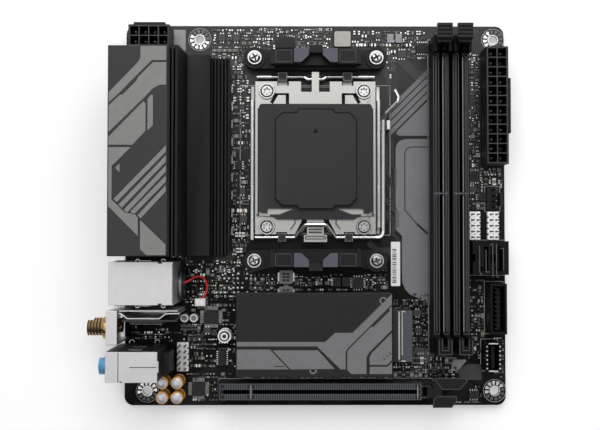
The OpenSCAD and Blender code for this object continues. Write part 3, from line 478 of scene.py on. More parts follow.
# Nodes whose look differs from the rest of their material slot; the contacts deep in the slots and headers
# take the darker tin as painted shade
OWN_LOOKS = {node: dull_tin_and_painted_shade for node in ("header_pins", "dimm_contacts", "pcie_contacts")}
OWN_LOOKS |= {node: deep_black for node in ("usb_c_header", "sata_ports", "usb3_header", "dimm_slot_1",
                                            "dimm_slot_2")}

# Edge rounding of the CAD nodes, in millimetres, where it isn't the usual one
EDGES = {
    "pcb": 0, "solder_joints": 0, "socket_lever": 0, "hinge_wire": 0, "battery_leads": 0, "io_cover": 0.4,
    "socket_contacts": 0.05, "power_pins": 0.2, "header_pins": 0.1, "jack_rings": 0.35, "socket_cap": 0.2,
    "battery": 0.5, "m2_heatsink": 0.2, "lan_usb_port": 0.2, "audio_shield": 0.1, "wifi_bracket": 0.25,
    "cooler_bracket_upper": 0.25, "cooler_bracket_lower": 0.25, "pcie_latch": 0.25, "load_plate": 0.2,
}


def dress_nodes():
    """Gives each CAD node its material and softly rounded edges."""
    for part in frame["record"]["subparts"]:
        node = nodes[part["node"]]
        node.data.materials.clear()
        node.data.materials.append(OWN_LOOKS.get(part["node"], LOOKS[part["material_slot"]]))
        for face in node.data.polygons:
            face.material_index = 0
        width = EDGES.get(part["node"], USUAL_EDGE)
        if width:
            weld = node.modifiers.new("weld", "WELD")
            weld.merge_threshold = 0.001 * MM
            rounding = node.modifiers.new("edges", "BEVEL")
            rounding.width = width * MM
            rounding.segments = 2
            rounding.limit_method = "ANGLE"
            rounding.angle_limit = math.radians(40)
            rounding.harden_normals = True


# ---------- printed shapes ----------


def printed(name, outlines, top, material, border=0.3):
    """Flat light shapes with a thin dark border."""
    fill, edge = Shape(), Shape()
    for outline in outlines:
        edge.prism(grown(outline, border), top, top + FLAT)
        fill.prism(outline, top, top + 2 * FLAT)
    piece(edge, name + "_border", black_print_and_painted_shade)
    piece(fill, name, material)


def cover_prints():
    """The light graphic shapes printed on the cover over the rear ports."""
    (x0, _), (y0, _), (_, top) = span("io_cover")
    right = 24.0
    shapes = [
        [(13.4, 86.2), (right, 86.2), (right, 80.4), (18.1, 80.4), (12.4, 74.7), (4.6, 66.7), (0.5, 62.9),
         (0.5, 67.2), (11.2, 78.3), (13.0, 80.4), (13.4, 82.4)],
        [(right, 79.5), (18.5, 79.5), (12.5, 73.4), (11.7, 71.8), (6.2, 66.2), (4.9, 66.0), (0.5, 61.7),
         (0.5, 50.8), (14.5, 64.5), (18.6, 68.8), (21.4, 70.2), (right, 70.3)],
        [(14.7, 63.5), (15.6, 62.5), (15.6, 51.3), (10.3, 45.6), (0.5, 45.6), (0.5, 48.9)],
        [(16.4, 64.3), (17.6, 66.0), (18.6, 66.2), (18.6, 53.6), (16.4, 51.4)],
        [(0.5, 44.6), (9.6, 44.6), (1.9, 36.9), (1.9, 23.2), (7.6, 17.7), (11.3, 17.5), (12.6, 15.8),
         (12.7, 8.3), (0.5, 20.5)],
        [(3.3, 36.2), (5.1, 38.0), (5.1, 34.3)],
        [(13.6, 14.8), (right, 4.8), (right, 0.5), (16.2, 0.5), (13.6, 2.9)],
    ]
    width = 2.6
    for high, end_x, end_y in ((45.4, 2.7, 23.4), (41.3, 4.7, 21.1), (37.2, 6.9, 19.0), (33.1, 9.6, 18.2),
                               (29.1, 12.5, 16.8)):
        shapes.append([(right, high), (right, high - width), (end_x + 1.3, end_y - 1.3), (end_x, end_y)])
    printed("cover_print", [shifted(s, x0, y0) for s in shapes], top, print_cover)


def sink_prints():
    """The light shapes printed on the storage heatsink, and the rings of its screws, with dark rings round
    them as painted shade.
    """
    (x0, x1), (y0, _), (_, top) = span("m2_heatsink")
    right = x1 - x0 - 0.3
    shapes = [
        [(0.4, 15.1), (38.5, 15.1), (42.9, 19.0), (50.4, 19.0), (right, 35.7), (right, 31.3), (48.1, 12.1),
         (47.4, 10.6), (47.4, 3.3), (45.2, 3.3), (35.0, 13.2), (0.4, 13.2)],
        [(0.4, 11.8), (14.7, 11.8), (22.8, 3.3), (0.4, 3.3)],
        [(15.8, 11.5), (35.4, 11.5), (42.6, 3.5), (23.6, 3.3)],
        [(right, 30.5), (48.6, 11.8), (48.1, 10.6), (48.1, 3.0), (49.9, 1.3), (56.4, 1.3), (56.4, 8.4),
         (57.3, 10.3), (right, 20.3)],
        [(right, 19.0), (58.6, 10.2), (57.8, 8.6), (57.8, 5.2), (65.3, 5.2), (right, 7.2)],
        [(57.8, 4.4), (65.5, 4.4), (right, 6.3), (right, 1.3), (57.8, 1.3)],
    ]
    printed("sink_print", [shifted(s, x0, y0) for s in shapes], top, print_sink, 0.22)
    marks = Shape()
    marks.band(shifted([(58.8, 21.7), (66.4, 29.0)], x0, y0), 1.0, top, top + 3 * FLAT)
    marks.band(shifted([(16.4, 4.6), (20.8, 4.6)], x0, y0), 0.4, top, top + 3 * FLAT)
    for i in range(3):
        marks.band(shifted([(63.6 + 1.3 * i, 8.4 + 1.1 * i), (64.6 + 1.3 * i, 7.4 + 1.1 * i)], x0, y0), 0.3,
                   top, top + 3 * FLAT)
    piece(marks, "sink_print_marks", black_print_and_painted_shade)
    rings, wells = Shape(), Shape()
    (sx0, sx1), (sy0, sy1), (_, screw_top) = span("heatsink_screws")
    for x, y in ((sx0 + 2.2, sy0 + 2.2), (sx1 - 2.2, sy1 - 2.2)):
        rings.arc_band(x, y, 1.05, 1.5, *skin(screw_top, 0.06))
        wells.arc_band(x, y, 1.5, 2.5, top - 0.02, max(top, screw_top) + 0.02)
    piece(rings, "sink_screw_rings", grey_part, bevel=0.03)
    piece(wells, "sink_screw_painted_shade", black_print_and_painted_shade)


def board_prints():
    """Printed grey panels and outlines on the board, with all wording left out."""
    edge_x = 136.4
    panel, dark, lines = Shape(), Shape(), Shape()
    left = 118.2
    fall = edge_x - left
    for k in range(4):
        high = 151.4 - 3.5 * k
        low = high - 2.7
        panel.prism([(edge_x, high), (edge_x, low), (left, low - fall), (left, high - fall)], 0, FLAT)
    panel.prism([(edge_x, 137.0), (edge_x, 120.5), (122.8, 120.5), (121.5, 121.2), (121.6, 122.4)], 0, FLAT)
    panel.prism([(edge_x, 119.0), (125.2, 119.0), (123.0, 118.2), (121.6, 116.6), (121.1, 114.6),
                 (121.1, 78.3), (123.9, 75.4), (123.9, 54.8), (125.2, 51.6), (127.4, 49.2), (130.2, 48.0),
                 (edge_x, 44.4)], 0, FLAT)
    piece(panel, "board_print_panel", ink_grey)
    lines.band([(edge_x, 115.4), (128.0, 115.4), (126.2, 114.7), (125.2, 112.8), (125.2, 87.0),
                (131.0, 80.4)], 0.45, FLAT, 2 * FLAT)
    lines.band([(130.7, 80.7), (135.4, 76.4)], 1.0, FLAT, 2 * FLAT)
    piece(lines, "board_print_line", black_print_and_painted_shade)
    for outline in (
        [(129.1, 25.9), (138.1, 24.9), (138.3, 21.2), (134.8, 18.2), (129.1, 23.2)],
        [(148.6, 15.6), (152.9, 18.2), (159.1, 18.2), (159.3, 11.1), (149.9, 11.1)],
        [(21.0, 168.4), (26.9, 168.4), (26.9, 158.0), (25.9, 158.0), (23.4, 160.9), (21.0, 161.3)],
        [(153.6, 168.6), (158.6, 168.6), (154.4, 164.0), (153.6, 164.0)],
    ):
        dark.prism(outline, 0, FLAT)
    piece(dark, "board_print_dark", ink_dark)
    pale = Shape()
    pale.prism([(21.3, 168.2), (26.6, 168.2), (26.6, 159.0), (26.0, 158.8), (23.6, 161.3), (21.3, 161.6)],
               FLAT, 2 * FLAT)
    pale.prism([(145.9, 18.9), (146.6, 20.2), (152.3, 20.2), (152.3, 19.3), (148.1, 14.7), (145.9, 15.6)],
               0, FLAT)
    piece(pale, "board_print_pale", grey_part)


def frame_line(shape, x0, x1, y0, y1, width=0.18):
    """A thin printed rectangle."""
    for a, b in (((x0, y0), (x1, y0)), ((x1, y0), (x1, y1)), ((x1, y1), (x0, y1)), ((x0, y1), (x0, y0))):
        shape.band([a, b], width, 0, FLAT)


def component_outlines():
    """White outlines and pin-one marks round the connectors and chips."""
    ink = Shape()
    for node, gap in (("usb3_header", 0.6), ("usb_c_header", 0.8), ("sata_ports", 0.5), ("fan_header", 0.5),
                      ("dimm_slot_1", 0.4), ("pcie_slot", 0.5), ("battery_plug", 0.4), ("socket_body", 10.6)):
        (x0, x1), (y0, y1), _ = span(node)
        frame_line(ink, x0 - gap, min(x1 + gap, BOARD_W - 0.3), y0 - gap, min(y1 + gap, BOARD_W - 0.3))
    for x, y in HOLES:
        ink.arc_band(x, y, 4.95, 5.1, 0, FLAT, steps=40)
    piece(ink, "component_outlines", ink_white)


# ---------- board ----------

HOLE_IN = (10.16, 6.35)
HOLE_BACK = 33.02
HOLE_FAR = 165.1
HOLE_HIGH = 163.83
HOLES = [HOLE_IN, (HOLE_BACK, HOLE_HIGH), (HOLE_FAR, HOLE_IN[1]), (HOLE_FAR, HOLE_HIGH)]


def hole_pads():
    """Plated pads round the mounting holes: petals of solder, painted brighter on the side that faces the
    light and darker on the other.
    """
    bright, dim, rims = Shape(), Shape(), Shape()
    # Arc of each hole, in degrees, whose petals take bright tin; the rest take the darker copy: painted
    # highlight and painted shade
    lit = {0: (0, 215), 1: (150, 360), 2: (30, 210), 3: (100, 260)}
    for i, (x, y) in enumerate(HOLES):
        rims.arc_band(x, y, 1.98, 2.25, -0.02, FLAT, steps=36)
        rims.arc_band(x, y, 1.98, 3.4, -BOARD_T - FLAT, -BOARD_T + 0.02, steps=36)
        for k in range(12):
            angle = 30 * k + 8
            shape = bright if lit[i][0] <= angle <= lit[i][1] else dim
            for inner, outer, half in ((2.55, 3.3, 7.5), (3.3, 4.4, 10.5)):
                shape.arc_band(x, y, inner, outer, 0, 0.12, angle - half, 2 * half, 4)
            rims.arc_band(x, y, 2.2, 2.5, 0, 0.08, angle + 10, 10, 2)
    piece(bright, "hole_petals", tin, bevel=0.04)
    piece(dim, "hole_petals_painted_dim", dull_tin_and_painted_shade, bevel=0.04)
    piece(rims, "hole_rims", tin)


def board_edge():
    """The bare laminate that shows round the board's edge."""
    (x0, x1), (y0, y1), _ = span("pcb")
    radius = 4.0
    section = [(-0.05, -BOARD_T + 0.2), (-0.05, -0.2), (0.03, -0.2), (0.03, -BOARD_T + 0.2)]
    shape = Shape()
    rings = []
    for cx, cy, start in ((x1 - radius, y1 - radius, 0), (x0 + radius, y1 - radius, 90),
                          (x0 + radius, y0 + radius, 180), (x1 - radius, y0 + radius, 270)):
        for i in range(9):
            t = math.radians(start + 90 * i / 8)
            c, s = math.cos(t), math.sin(t)
            rings.append([(cx + (radius + d) * c, cy + (radius + d) * s, z) for d, z in section])
    rings.append(rings[0])
    shape.rings(rings, closed_ends=False)
    piece(shape, "laminate_edge", laminate)


# Bundles of parallel traces: how many, their pitch and width, and the path that the first one follows
BUNDLES = [
    (3, 0.55, 0.22, [(118.9, 119.0), (118.9, 107.0), (120.4, 104.9), (120.4, 97.0)]),
    (4, 0.5, 0.22, [(117.2, 98.0), (119.4, 94.6), (119.4, 88.0), (120.9, 85.8), (120.9, 79.0)]),
    (3, 0.5, 0.22, [(117.0, 84.0), (119.6, 80.6), (119.6, 76.0), (122.8, 72.4), (122.8, 58.0)]),
    (2, 0.6, 0.22, [(116.2, 117.0), (117.0, 114.0), (117.0, 104.0), (118.6, 101.6), (118.6, 97.4)]),
    (3, 0.9, 0.35, [(116.4, 92.0), (120.4, 86.0)]),
    (3, 0.9, 0.35, [(116.4, 86.0), (119.2, 82.0)]),
    (5, 0.5, 0.22, [(108.0, 72.0), (112.0, 68.0), (117.2, 68.0), (120.0, 65.2)]),
    (6, 0.5, 0.22, [(40.0, 63.4), (46.0, 63.4), (51.0, 68.4), (54.0, 68.4)]),
    (4, 0.5, 0.22, [(28.0, 28.6), (33.0, 28.6), (36.0, 31.6), (40.0, 31.6)]),
    (5, 0.5, 0.22, [(122.0, 12.6), (128.0, 12.6), (131.0, 15.6), (134.6, 15.6)]),
    (7, 0.6, 0.22, [(113.0, 160.0), (119.0, 154.0), (122.0, 154.0), (130.0, 146.0), (136.0, 146.0)]),
    (4, 0.5, 0.22, [(113.5, 150.5), (117.5, 146.5), (117.5, 138.0)]),
    (4, 0.6, 0.22, [(154.0, 104.0), (154.0, 118.0), (156.5, 120.5), (156.5, 152.0)]),
    (5, 0.5, 0.22, [(38.0, 156.5), (43.5, 156.5), (47.0, 153.0), (47.0, 146.0)]),
    (4, 0.7, 0.35, [(152.6, 158.0), (155.0, 160.4), (155.0, 164.0), (157.0, 167.0)]),
]
BACK_BUNDLES = [
    (10, 0.7, 0.3, [(20.0, 40.0), (44.0, 40.0), (52.0, 48.0), (52.0, 140.0)]),
    (12, 0.8, 0.3, [(122.0, 20.0), (122.0, 100.0), (134.0, 112.0), (134.0, 158.0)]),
]


def traces():
    """Parallel traces in relief, on the board's top and on its back."""
    relief = 0.035
    shape = Shape()
    for bundles, z in ((BUNDLES, 0.0), (BACK_BUNDLES, -BOARD_T - relief)):
        for count, pitch, width, path in bundles:
            for k in range(count):
                shape.band(side_path(path, k * pitch), width, z, z + relief)
    metal = surface("trace_relief", (0.055, 0.053, 0.049), 0.32, fine=4.0)
    piece(shape, "board_traces", metal)


# Nodes that small parts may stand below or beside, because they don't fill their box on the board
OPEN_BELOW = ("pcb", "solder_joints", "cooler_backplate", "backplate_insulator", "pcie_latch",
              "battery_leads", "header_pins", "socket_lever", "bracket_screws", "heatsink_screws",
              "socket_screws", "power_pins", "dimm_contacts", "port_tongues")
# Nodes of several solids, kept clear of one by one
SCATTERED = ("ic_packages", "power_inductors", "pin_headers", "m2_connectors", "wifi_cage",
             "antenna_connectors", "audio_capacitors", "fan_header")


# Dark chips with legs above and below: centre x, centre y, width, depth
ODD_CHIPS = [
    (133.2, 160.2, 4.6, 3.9), (124.0, 157.3, 3.6, 3.4), (43.0, 164.6, 3.0, 3.2), (49.4, 164.6, 3.2, 3.2),
    (113.2, 165.4, 2.6, 2.4), (52.6, 110.4, 3.0, 3.6), (52.8, 83.0, 3.4, 3.4), (52.4, 95.6, 2.4, 3.0),
    (52.0, 133.4, 2.4, 2.4), (155.6, 102.0, 3.6, 3.4), (155.4, 96.4, 3.4, 2.8), (44.0, 30.0, 4.6, 3.6),
    (36.8, 33.4, 3.0, 2.4), (130.6, 41.0, 3.4, 2.8), (131.0, 33.2, 3.2, 2.4), (72.0, 54.6, 3.0, 2.4),
]


def blocked_boxes():
    """What the small parts stay clear of: the CAD pieces that stand on the board, chips and holes."""
    boxes = [span(n)[:2] for n in nodes if n not in OPEN_BELOW + SCATTERED]
    for name in SCATTERED:
        boxes += [loose[:2] for loose in islands(name)]
    clear = 5.4
    boxes += [((x - clear, x + clear), (y - clear, y + clear)) for x, y in HOLES]
    side, end = 0.2, 0.9
    boxes += [((x - w / 2 - side, x + w / 2 + side), (y - h / 2 - end, y + h / 2 + end))
              for x, y, w, h in ODD_CHIPS]
    return boxes


def chip_part(bodies, ends, x, y, length, width, height, turned):
    """One small part: a body with a metal cap at each end."""
    cap = 0.28 * length

    def put(shape, along, half, top):
        """A block of the part's full width, somewhere along its length."""
        if turned:
            shape.box(x - width / 2, x + width / 2, y + along - half, y + along + half, 0, top)
        else:
            shape.box(x + along - half, x + along + half, y - width / 2, y + width / 2, 0, top)

    put(bodies, 0, length / 2 - cap, height)
    for s in (-1, 1):
        put(ends, s * (length / 2 - cap / 2), cap / 2, height * 1.06)


# Zones of small parts: x range, y range, chance that a place is filled
ZONES = [
    ((47.6, 56.0), (62.0, 155.0), 0.6), ((38.2, 92.6), (155.0, 169.2), 0.8),
    ((28.5, 38.0), (155.0, 158.0), 0.9), ((101.0, 136.0), (155.0, 169.2), 0.7),
    ((55.5, 118.0), (50.9, 58.6), 0.55), ((24.5, 49.8), (13.4, 44.0), 0.25),
    ((24.5, 49.8), (44.0, 65.6), 0.42), ((49.4, 60.4), (60.6, 66.4), 0.5),
    ((3.0, 25.0), (28.2, 37.2), 0.2), ((20.5, 30.0), (64.9, 66.6), 0.7),
    ((30.4, 46.0), (2.0, 13.6), 0.45), ((119.8, 136.0), (13.0, 47.6), 0.75),
    ((127.6, 148.4), (9.5, 22.6), 0.75), ((153.0, 161.0), (21.0, 57.5), 0.5),
    ((152.8, 159.2), (104.8, 158.6), 0.85), ((153.0, 169.4), (97.4, 106.4), 0.85),
    ((153.0, 161.0), (86.6, 99.0), 0.8), ((152.8, 160.5), (58.0, 73.0), 0.4),
    ((128.3, 136.0), (47.0, 50.0), 0.6), ((104.0, 118.6), (146.0, 155.5), 0.22),
    ((50.6, 118.0), (11.7, 14.1), 0.9), ((112.8, 120.0), (146.8, 152.0), 0.3),
    ((137.6, 160.6), (0.8, 2.8), 0.4), ((164.6, 169.4), (12.0, 31.0), 0.4),
    ((156.0, 161.0), (2.0, 10.0), 0.4),
]
# Length, width and height of the parts that each pass lays, the larger ones first
PASSES = [[(2.0, 1.25, 0.7), (3.2, 1.6, 0.8), (1.6, 0.8, 0.55)], [(1.6, 0.8, 0.55), (1.2, 0.6, 0.4)],
          [(1.0, 0.5, 0.35), (0.8, 0.45, 0.3)]]
CELL = 0.25  # side of the cells that say which places are taken


def small_parts():
    """Rows of resistors and capacitors, with metal ends, kept clear of everything else."""
    cells = int(BOARD_W / CELL)
    used = [bytearray(cells) for _ in range(cells)]
    margin, gap = 0.1, 0.25
    turned_share, break_share = 0.45, 0.16
    pads_to, dark_to, brown_to = 0.12, 0.6, 0.76
    # more of the metal ends are painted bright on the upper part of the board, the rest take the darker copy
    # of tin: painted highlight and painted shade
    lit_above, lit_share, dim_share = 66, 0.32, 0.2

    def window(x0, x1, y0, y1):
        """The cells under a rectangle: first and last column, first and last row."""
        return [min(cells, max(0, int(v / CELL) + k)) for v, k in ((x0, 0), (x1, 1), (y0, 0), (y1, 1))]

    def mark(x0, x1, y0, y1):
        """Takes the cells under a rectangle."""
        a, b, c, d = window(x0, x1, y0, y1)
        for row in used[c:d]:
            row[a:b] = bytes([1]) * (b - a)

    def free(x, y, half_x, half_y):
        """Whether a place and its margin are empty."""
        across, up = half_x + margin, half_y + margin
        a, b, c, d = window(x - across, x + across, y - up, y + up)
        return not any(any(row[a:b]) for row in used[c:d])

    for (x0, x1), (y0, y1) in blocked_boxes():
        mark(x0, x1, y0, y1)
    dark, brown, grey = Shape(), Shape(), Shape()
    ends, painted_dim_ends, pads = Shape(), Shape(), Shape()
    for sizes in PASSES:
        for (x0, x1), (y0, y1), chance in ZONES:
            y = y0 + 0.5
            while y < y1 - 0.4:
                turned = rng.random() < turned_share
                length, width, height = rng.choice(sizes)
                half_x, half_y = (width / 2, length / 2) if turned else (length / 2, width / 2)
                if y + half_y > y1:
                    break
                x = x0 + half_x + rng.random() * 0.6
                run = rng.random() < chance
                while x < x1 - half_x:
                    if rng.random() < break_share:
                        run = rng.random() < chance
                    if run and free(x, y, half_x, half_y):
                        kind = rng.random()
                        if kind < pads_to:
                            size = min(width, 0.7)
                            pads.turned(x, y, [(size / 2, 0), (size / 2, 0.04), (size / 4, 0.06)], 10)
                        else:
                            bodies = dark if kind < dark_to else brown if kind < brown_to else grey
                            share = lit_share if y > lit_above else dim_share
                            caps = ends if rng.random() < share else painted_dim_ends
                            chip_part(bodies, caps, x, y, length, width, height, turned)
                        mark(x - half_x, x + half_x, y - half_y, y + half_y)
                    x += 2 * half_x + gap
                y += 2 * half_y + gap
    piece(dark, "small_parts_dark", epoxy, bevel=0.04)
    piece(brown, "small_parts_brown", tan_part, bevel=0.05)
    piece(grey, "small_parts_grey", grey_part, bevel=0.05)
    piece(ends, "small_part_ends", tin)
    piece(painted_dim_ends, "small_part_ends_painted_dim", dull_tin_and_painted_shade)
    piece(pads, "test_pads", tin)


def chip_leads():
    """Leads along the sides of the flat chips, and a pin-one dot on each."""
    leads, bars, dots = Shape(), Shape(), Shape()
    for (x0, x1), (y0, y1), (_, top) in islands("ic_packages"):
        w, d = x1 - x0, y1 - y0
        dots.turned(x0 + 0.7, y1 - 0.7, [(0.25, top), (0.25, top + 0.02)], 14)
        if w > 7 and y0 > TOP_ROW:
            continue
        big = min(w, d) > 5.5
        sides = 4 if big or (w > 4.5 and d > 4.5) else 2
        reach, pitch, half = (1.7, 0.5, 0.19) if big else (0.75, 0.9, 0.22)
        for side in range(sides):
            horizontal = side < 2 if sides == 4 else w >= d
            length = w if horizontal else d
            count = max(3, int((length - 0.6) / pitch))
            shape = bars if big else leads
            for k in range(count):
                t = (k + 0.5) / count * (length - 0.5) + 0.25
                low, high = (y0, y1) if horizontal else (x0, x1)
                a, b = (low - reach, low + 0.05) if side % 2 == 0 else (high - 0.05, high + reach)
                if horizontal:
                    shape.box(x0 + t - half, x0 + t + half, a, b, 0.0, 0.2)
                else:
                    shape.box(a, b, y0 + t - half, y0 + t + half, 0.0, 0.2)
    piece(leads, "chip_leads", tin, bevel=0.03)
    lead_grey = surface("lead_grey", (0.3, 0.3, 0.295), 0.4, 0.5, fine=5.0)
    piece(bars, "chip_lead_rows", lead_grey, bevel=0.03)
    piece(dots, "chip_dots", dull_tin_and_painted_shade)


def solder_dots():
    """Through-hole joints near the battery's plug, and rows of vias."""
    dots = Shape()
    joint_share, via_share = 0.72, 0.7
    for j in range(6):
        radius = 0.4 if j == 3 else 0.58
        for i in range(10):
            if rng.random() < joint_share:
                x, y = 40.4 + 1.97 * i + 0.3 * (j % 2), 60.6 - 2.1 * j
                dots.turned(x, y, [(radius, 0), (radius * 0.96, 0.15), (radius * 0.6, 0.4), (0.12, 0.46)], 14)
    vias = Shape()
    for x0, y0, nx, ny in ((106, 155.5, 12, 3), (48.6, 58.2, 8, 2), (154, 140, 4, 9), (30, 25.5, 6, 4),
                           (116, 150, 5, 5), (96, 152, 6, 2), (112, 60, 5, 6), (50.8, 13.2, 58, 1)):
        for i in range(nx):
            for j in range(ny):
                if rng.random() < via_share:
                    vias.arc_band(x0 + 1.15 * i, y0 + 1.1 * j, 0.15, 0.32, 0, 0.04, steps=10)
    piece(dots, "solder_dots", solder)
    piece(vias, "vias", dull_tin_and_painted_shade)


# ---------- socket ----------


def cap_marks():
    """The stepped outline round the cap's raised centre, drawn as a dark band of painted shade, and a plain
    arrow.
    """
    (x0, x1), (_, y1), (_, top) = span("socket_cap")
    cx = (x0 + x1) / 2
    left, right, low, high = 67.3, 103.0, 88.8, 129.8
    cut, step = 3, 9.4
    marks = Shape()

    def stepped(start, end, y, sign, rise):
        """One end of the outline, from side to side, with cut corners and a step outwards."""
        way = 1 if end > start else -1
        half = [(0, -cut), (cut, 0), (step, 0), (step + 1, rise)]
        return ([(start + way * a, y + sign * b) for a, b in half]
                + [(end - way * a, y + sign * b) for a, b in half[::-1]])

    upper, lower = stepped(right, left, high, 1, 1.6), stepped(left, right, low, -1, 1.4)
    for path, width in ((upper, 0.48), ([upper[-1], lower[0]], 0.36), ([lower[-1], upper[0]], 0.36),
                        (lower, 0.75)):
        marks.band(path, width, *skin(top))
    marks.prism([(cx - 1.1, y1 - 13.0), (cx + 1.1, y1 - 13.0), (cx, y1 - 10.8)], top, top + 0.05)
    shadow = surface("cap_edge_painted_shade", (0.008, 0.008, 0.009), 0.7, fine=5.0, specular=0.16)
    piece(marks, "cap_marks", shadow, "cap")


def plate_details():
    """Collars, flanges and lobes of the socket's screws, and the lines pressed into the load plate, the lobes
    and lines drawn dark as painted shade.
    """
    (x0, x1), _, _ = span("socket_cap")
    cx = (x0 + x1) / 2
    _, _, (_, top) = span("load_plate")
    collars, flanges, lobes = Shape(), Shape(), Shape()
    for x, y, _, head in uprights("socket_screws"):
        collars.arc_band(x, y, 3.02, 3.3, 3.2, 4.2)
        # inside the plate's round openings, clear of it when it lifts
        flanges.arc_band(x, y, 2.95, 3.52, top - 0.3, top, steps=40)
        for k in range(6):
            t = math.radians(60 * k + 30)
            at_x, at_y = x + 1.45 * math.cos(t), y + 1.45 * math.sin(t)
            lobes.turned(at_x, at_y, [(0.32, head - 0.05), (0.32, head + 0.03)], 10)
    piece(collars, "screw_collars", frame_steel, bevel=0.05)
    piece(flanges, "screw_flanges", wire_steel, bevel=0.06)
    piece(lobes, "screw_painted_lobe_shade", black_print_and_painted_shade)
    # Dark strips in the gaps beside the cap and along the plate's creases: painted shade
    seams = Shape()
    height = skin(top, 0.03)
    for x in (59.62, 110.32):
        seams.box(x - 0.3, x + 0.3, 84.5, 132.0, *height)
    seams.band([(cx - 4.3, 75.2), (cx - 4.3, 74.0), (cx + 4.3, 74.0), (cx + 4.3, 75.2), (cx - 4.2, 75.2)],
               0.3, *height)
    for y in (77.0, 78.3, 79.6):
        seams.band([(cx - 3.0, y), (cx + 3.0, y)], 0.5, *height)
    for sx in (-1, 1):
        for path, width in ((((25.9, 85.2), (25.9, 84.2), (13.0, 83.6)), 0.3),
                            (((9.4, 84.0), (9.0, 81.0), (11.0, 78.4)), 0.35)):
            seams.band([(cx + sx * a, b) for a, b in path], width, *height)
    piece(seams, "plate_painted_seam_shade", black_print_and_painted_shade, "load_plate")


def frame_details():
    """Dark caps and grey rims on the wire brackets, dark strips beside the socket as painted shade in its
    gaps, and painted highlights along the frame's rails.
    """
    caps, rims = Shape(), Shape()
    for x, y, w in ((68.2, 144.5, 4.2), (97.2, 144.5, 4.2), (68.3, 72.8, 3.6), (98.0, 72.8, 3.6)):
        left, right, low, high = x + 0.2, x + w - 0.2, y + 0.2, y + 3.6
        caps.box(left + 0.15, right - 0.15, low + 0.15, high - 0.15, 4.55, 4.64)
        rims.band([(left, low), (right, low), (right, high), (left, high), (left, low + 0.1)], 0.22,
                  4.58, 4.68)
    piece(caps, "bracket_top_dark_caps", black_print_and_painted_shade, bevel=0.04)
    piece(rims, "bracket_top_rims", painted_rim_highlight, bevel=0.03)
    base = 1.5
    # Black strips on the frame's base and in the gaps beside the plate: painted shade
    strips = Shape()
    for a, b, c, d in ((57.6, 61.6, 76.6, 142.1), (108.3, 112.4, 76.6, 142.1), (61.6, 108.3, 76.6, 86.1),
                       (61.6, 108.3, 132.8, 142.1)):
        strips.box(a, b, c, d, base, base + 0.06)
    for x in (57.9, 112.1):
        strips.box(x - 0.36, x + 0.36, 78.5, 135.5, base, 4.6)
    piece(strips, "socket_side_painted_shade", film)
    (left, _), _, _ = span("socket_frame")
    # Brighter steel along the rails' tops: painted highlights
    rails = Shape()
    for x in (left + 0.65, 113.15):
        for a, b in ((82.0, 97.5), (98.1, 121.0), (121.6, 133.5)):
            rails.box(x - 0.45, x + 0.45, a, b, 4.25, 4.5)
    piece(rails, "frame_rail_painted_highlights", wire_steel, bevel=0.1, segments=2)


def bracket_details():
    """Wedges and pad outlines on the two cooler brackets, and the crossheads of their screws, with the pad
    outlines as painted highlights and the crossheads and rings round the heads as painted shade.
    """
    for node, sign in (("cooler_bracket_lower", 1), ("cooler_bracket_upper", -1)):
        (x0, x1), (y0, y1), (_, top) = span(node)
        cx = (x0 + x1) / 2
        cy = y0 + 4.8 if sign > 0 else y1 - 4.8
        wedge, ribs = Shape(), Shape()
        for s in (-1, 1):
            outline = [(3, -2.6), (9.5, -2.6), (9.5, 3.5), (6.3, 3.5), (3, 0.4)]
            wedge.prism([(cx + s * a, cy + sign * b) for a, b in outline], *skin(top, 0.05))
            for a, b, c, d in ((10.4, 17.6, -2.2, -1.95), (10.4, 17.6, 2.9, 3.15), (10.4, 10.65, -2.2, 3.15),
                               (17.35, 17.6, -2.2, 3.15)):
                xa, xb = sorted((cx + s * a, cx + s * b))
                ya, yb = sorted((cy + sign * c, cy + sign * d))
                ribs.box(xa, xb, ya, yb, top - 2.05, top - 1.9)
        piece(wedge, node + "_wedges", slate, bevel=0.03)
        piece(ribs, node + "_pads", painted_rim_highlight, bevel=0.05)
    rims, crosses, skirts = Shape(), Shape(), Shape()
    for x, y, radius, top in uprights("bracket_screws"):
        for k in range(4):
            t = math.radians(90 * k + 20)
            c, s = math.cos(t), math.sin(t)
            arm = [(0.25, 0.42), (0.25, -0.42), (1.55, -0.26), (1.55, 0.26)]
            crosses.prism([(x + a * c - b * s, y + a * s + b * c) for a, b in arm], top - 0.3, top + 0.04)
        rims.arc_band(x, y, radius + 0.5, radius + 0.85, top - 1.6, top - 1.15)
        skirts.arc_band(x, y, radius - 0.1, radius + 0.5, top - 1.6, top - 1.1)
    piece(crosses, "bracket_screw_painted_cross_shade", black_print_and_painted_shade)
    piece(skirts, "bracket_screw_skirts", tin, bevel=0.08, segments=2)
    piece(rims, "bracket_screw_painted_shade_rims", black_print_and_painted_shade)


# ---------- slots and headers ----------


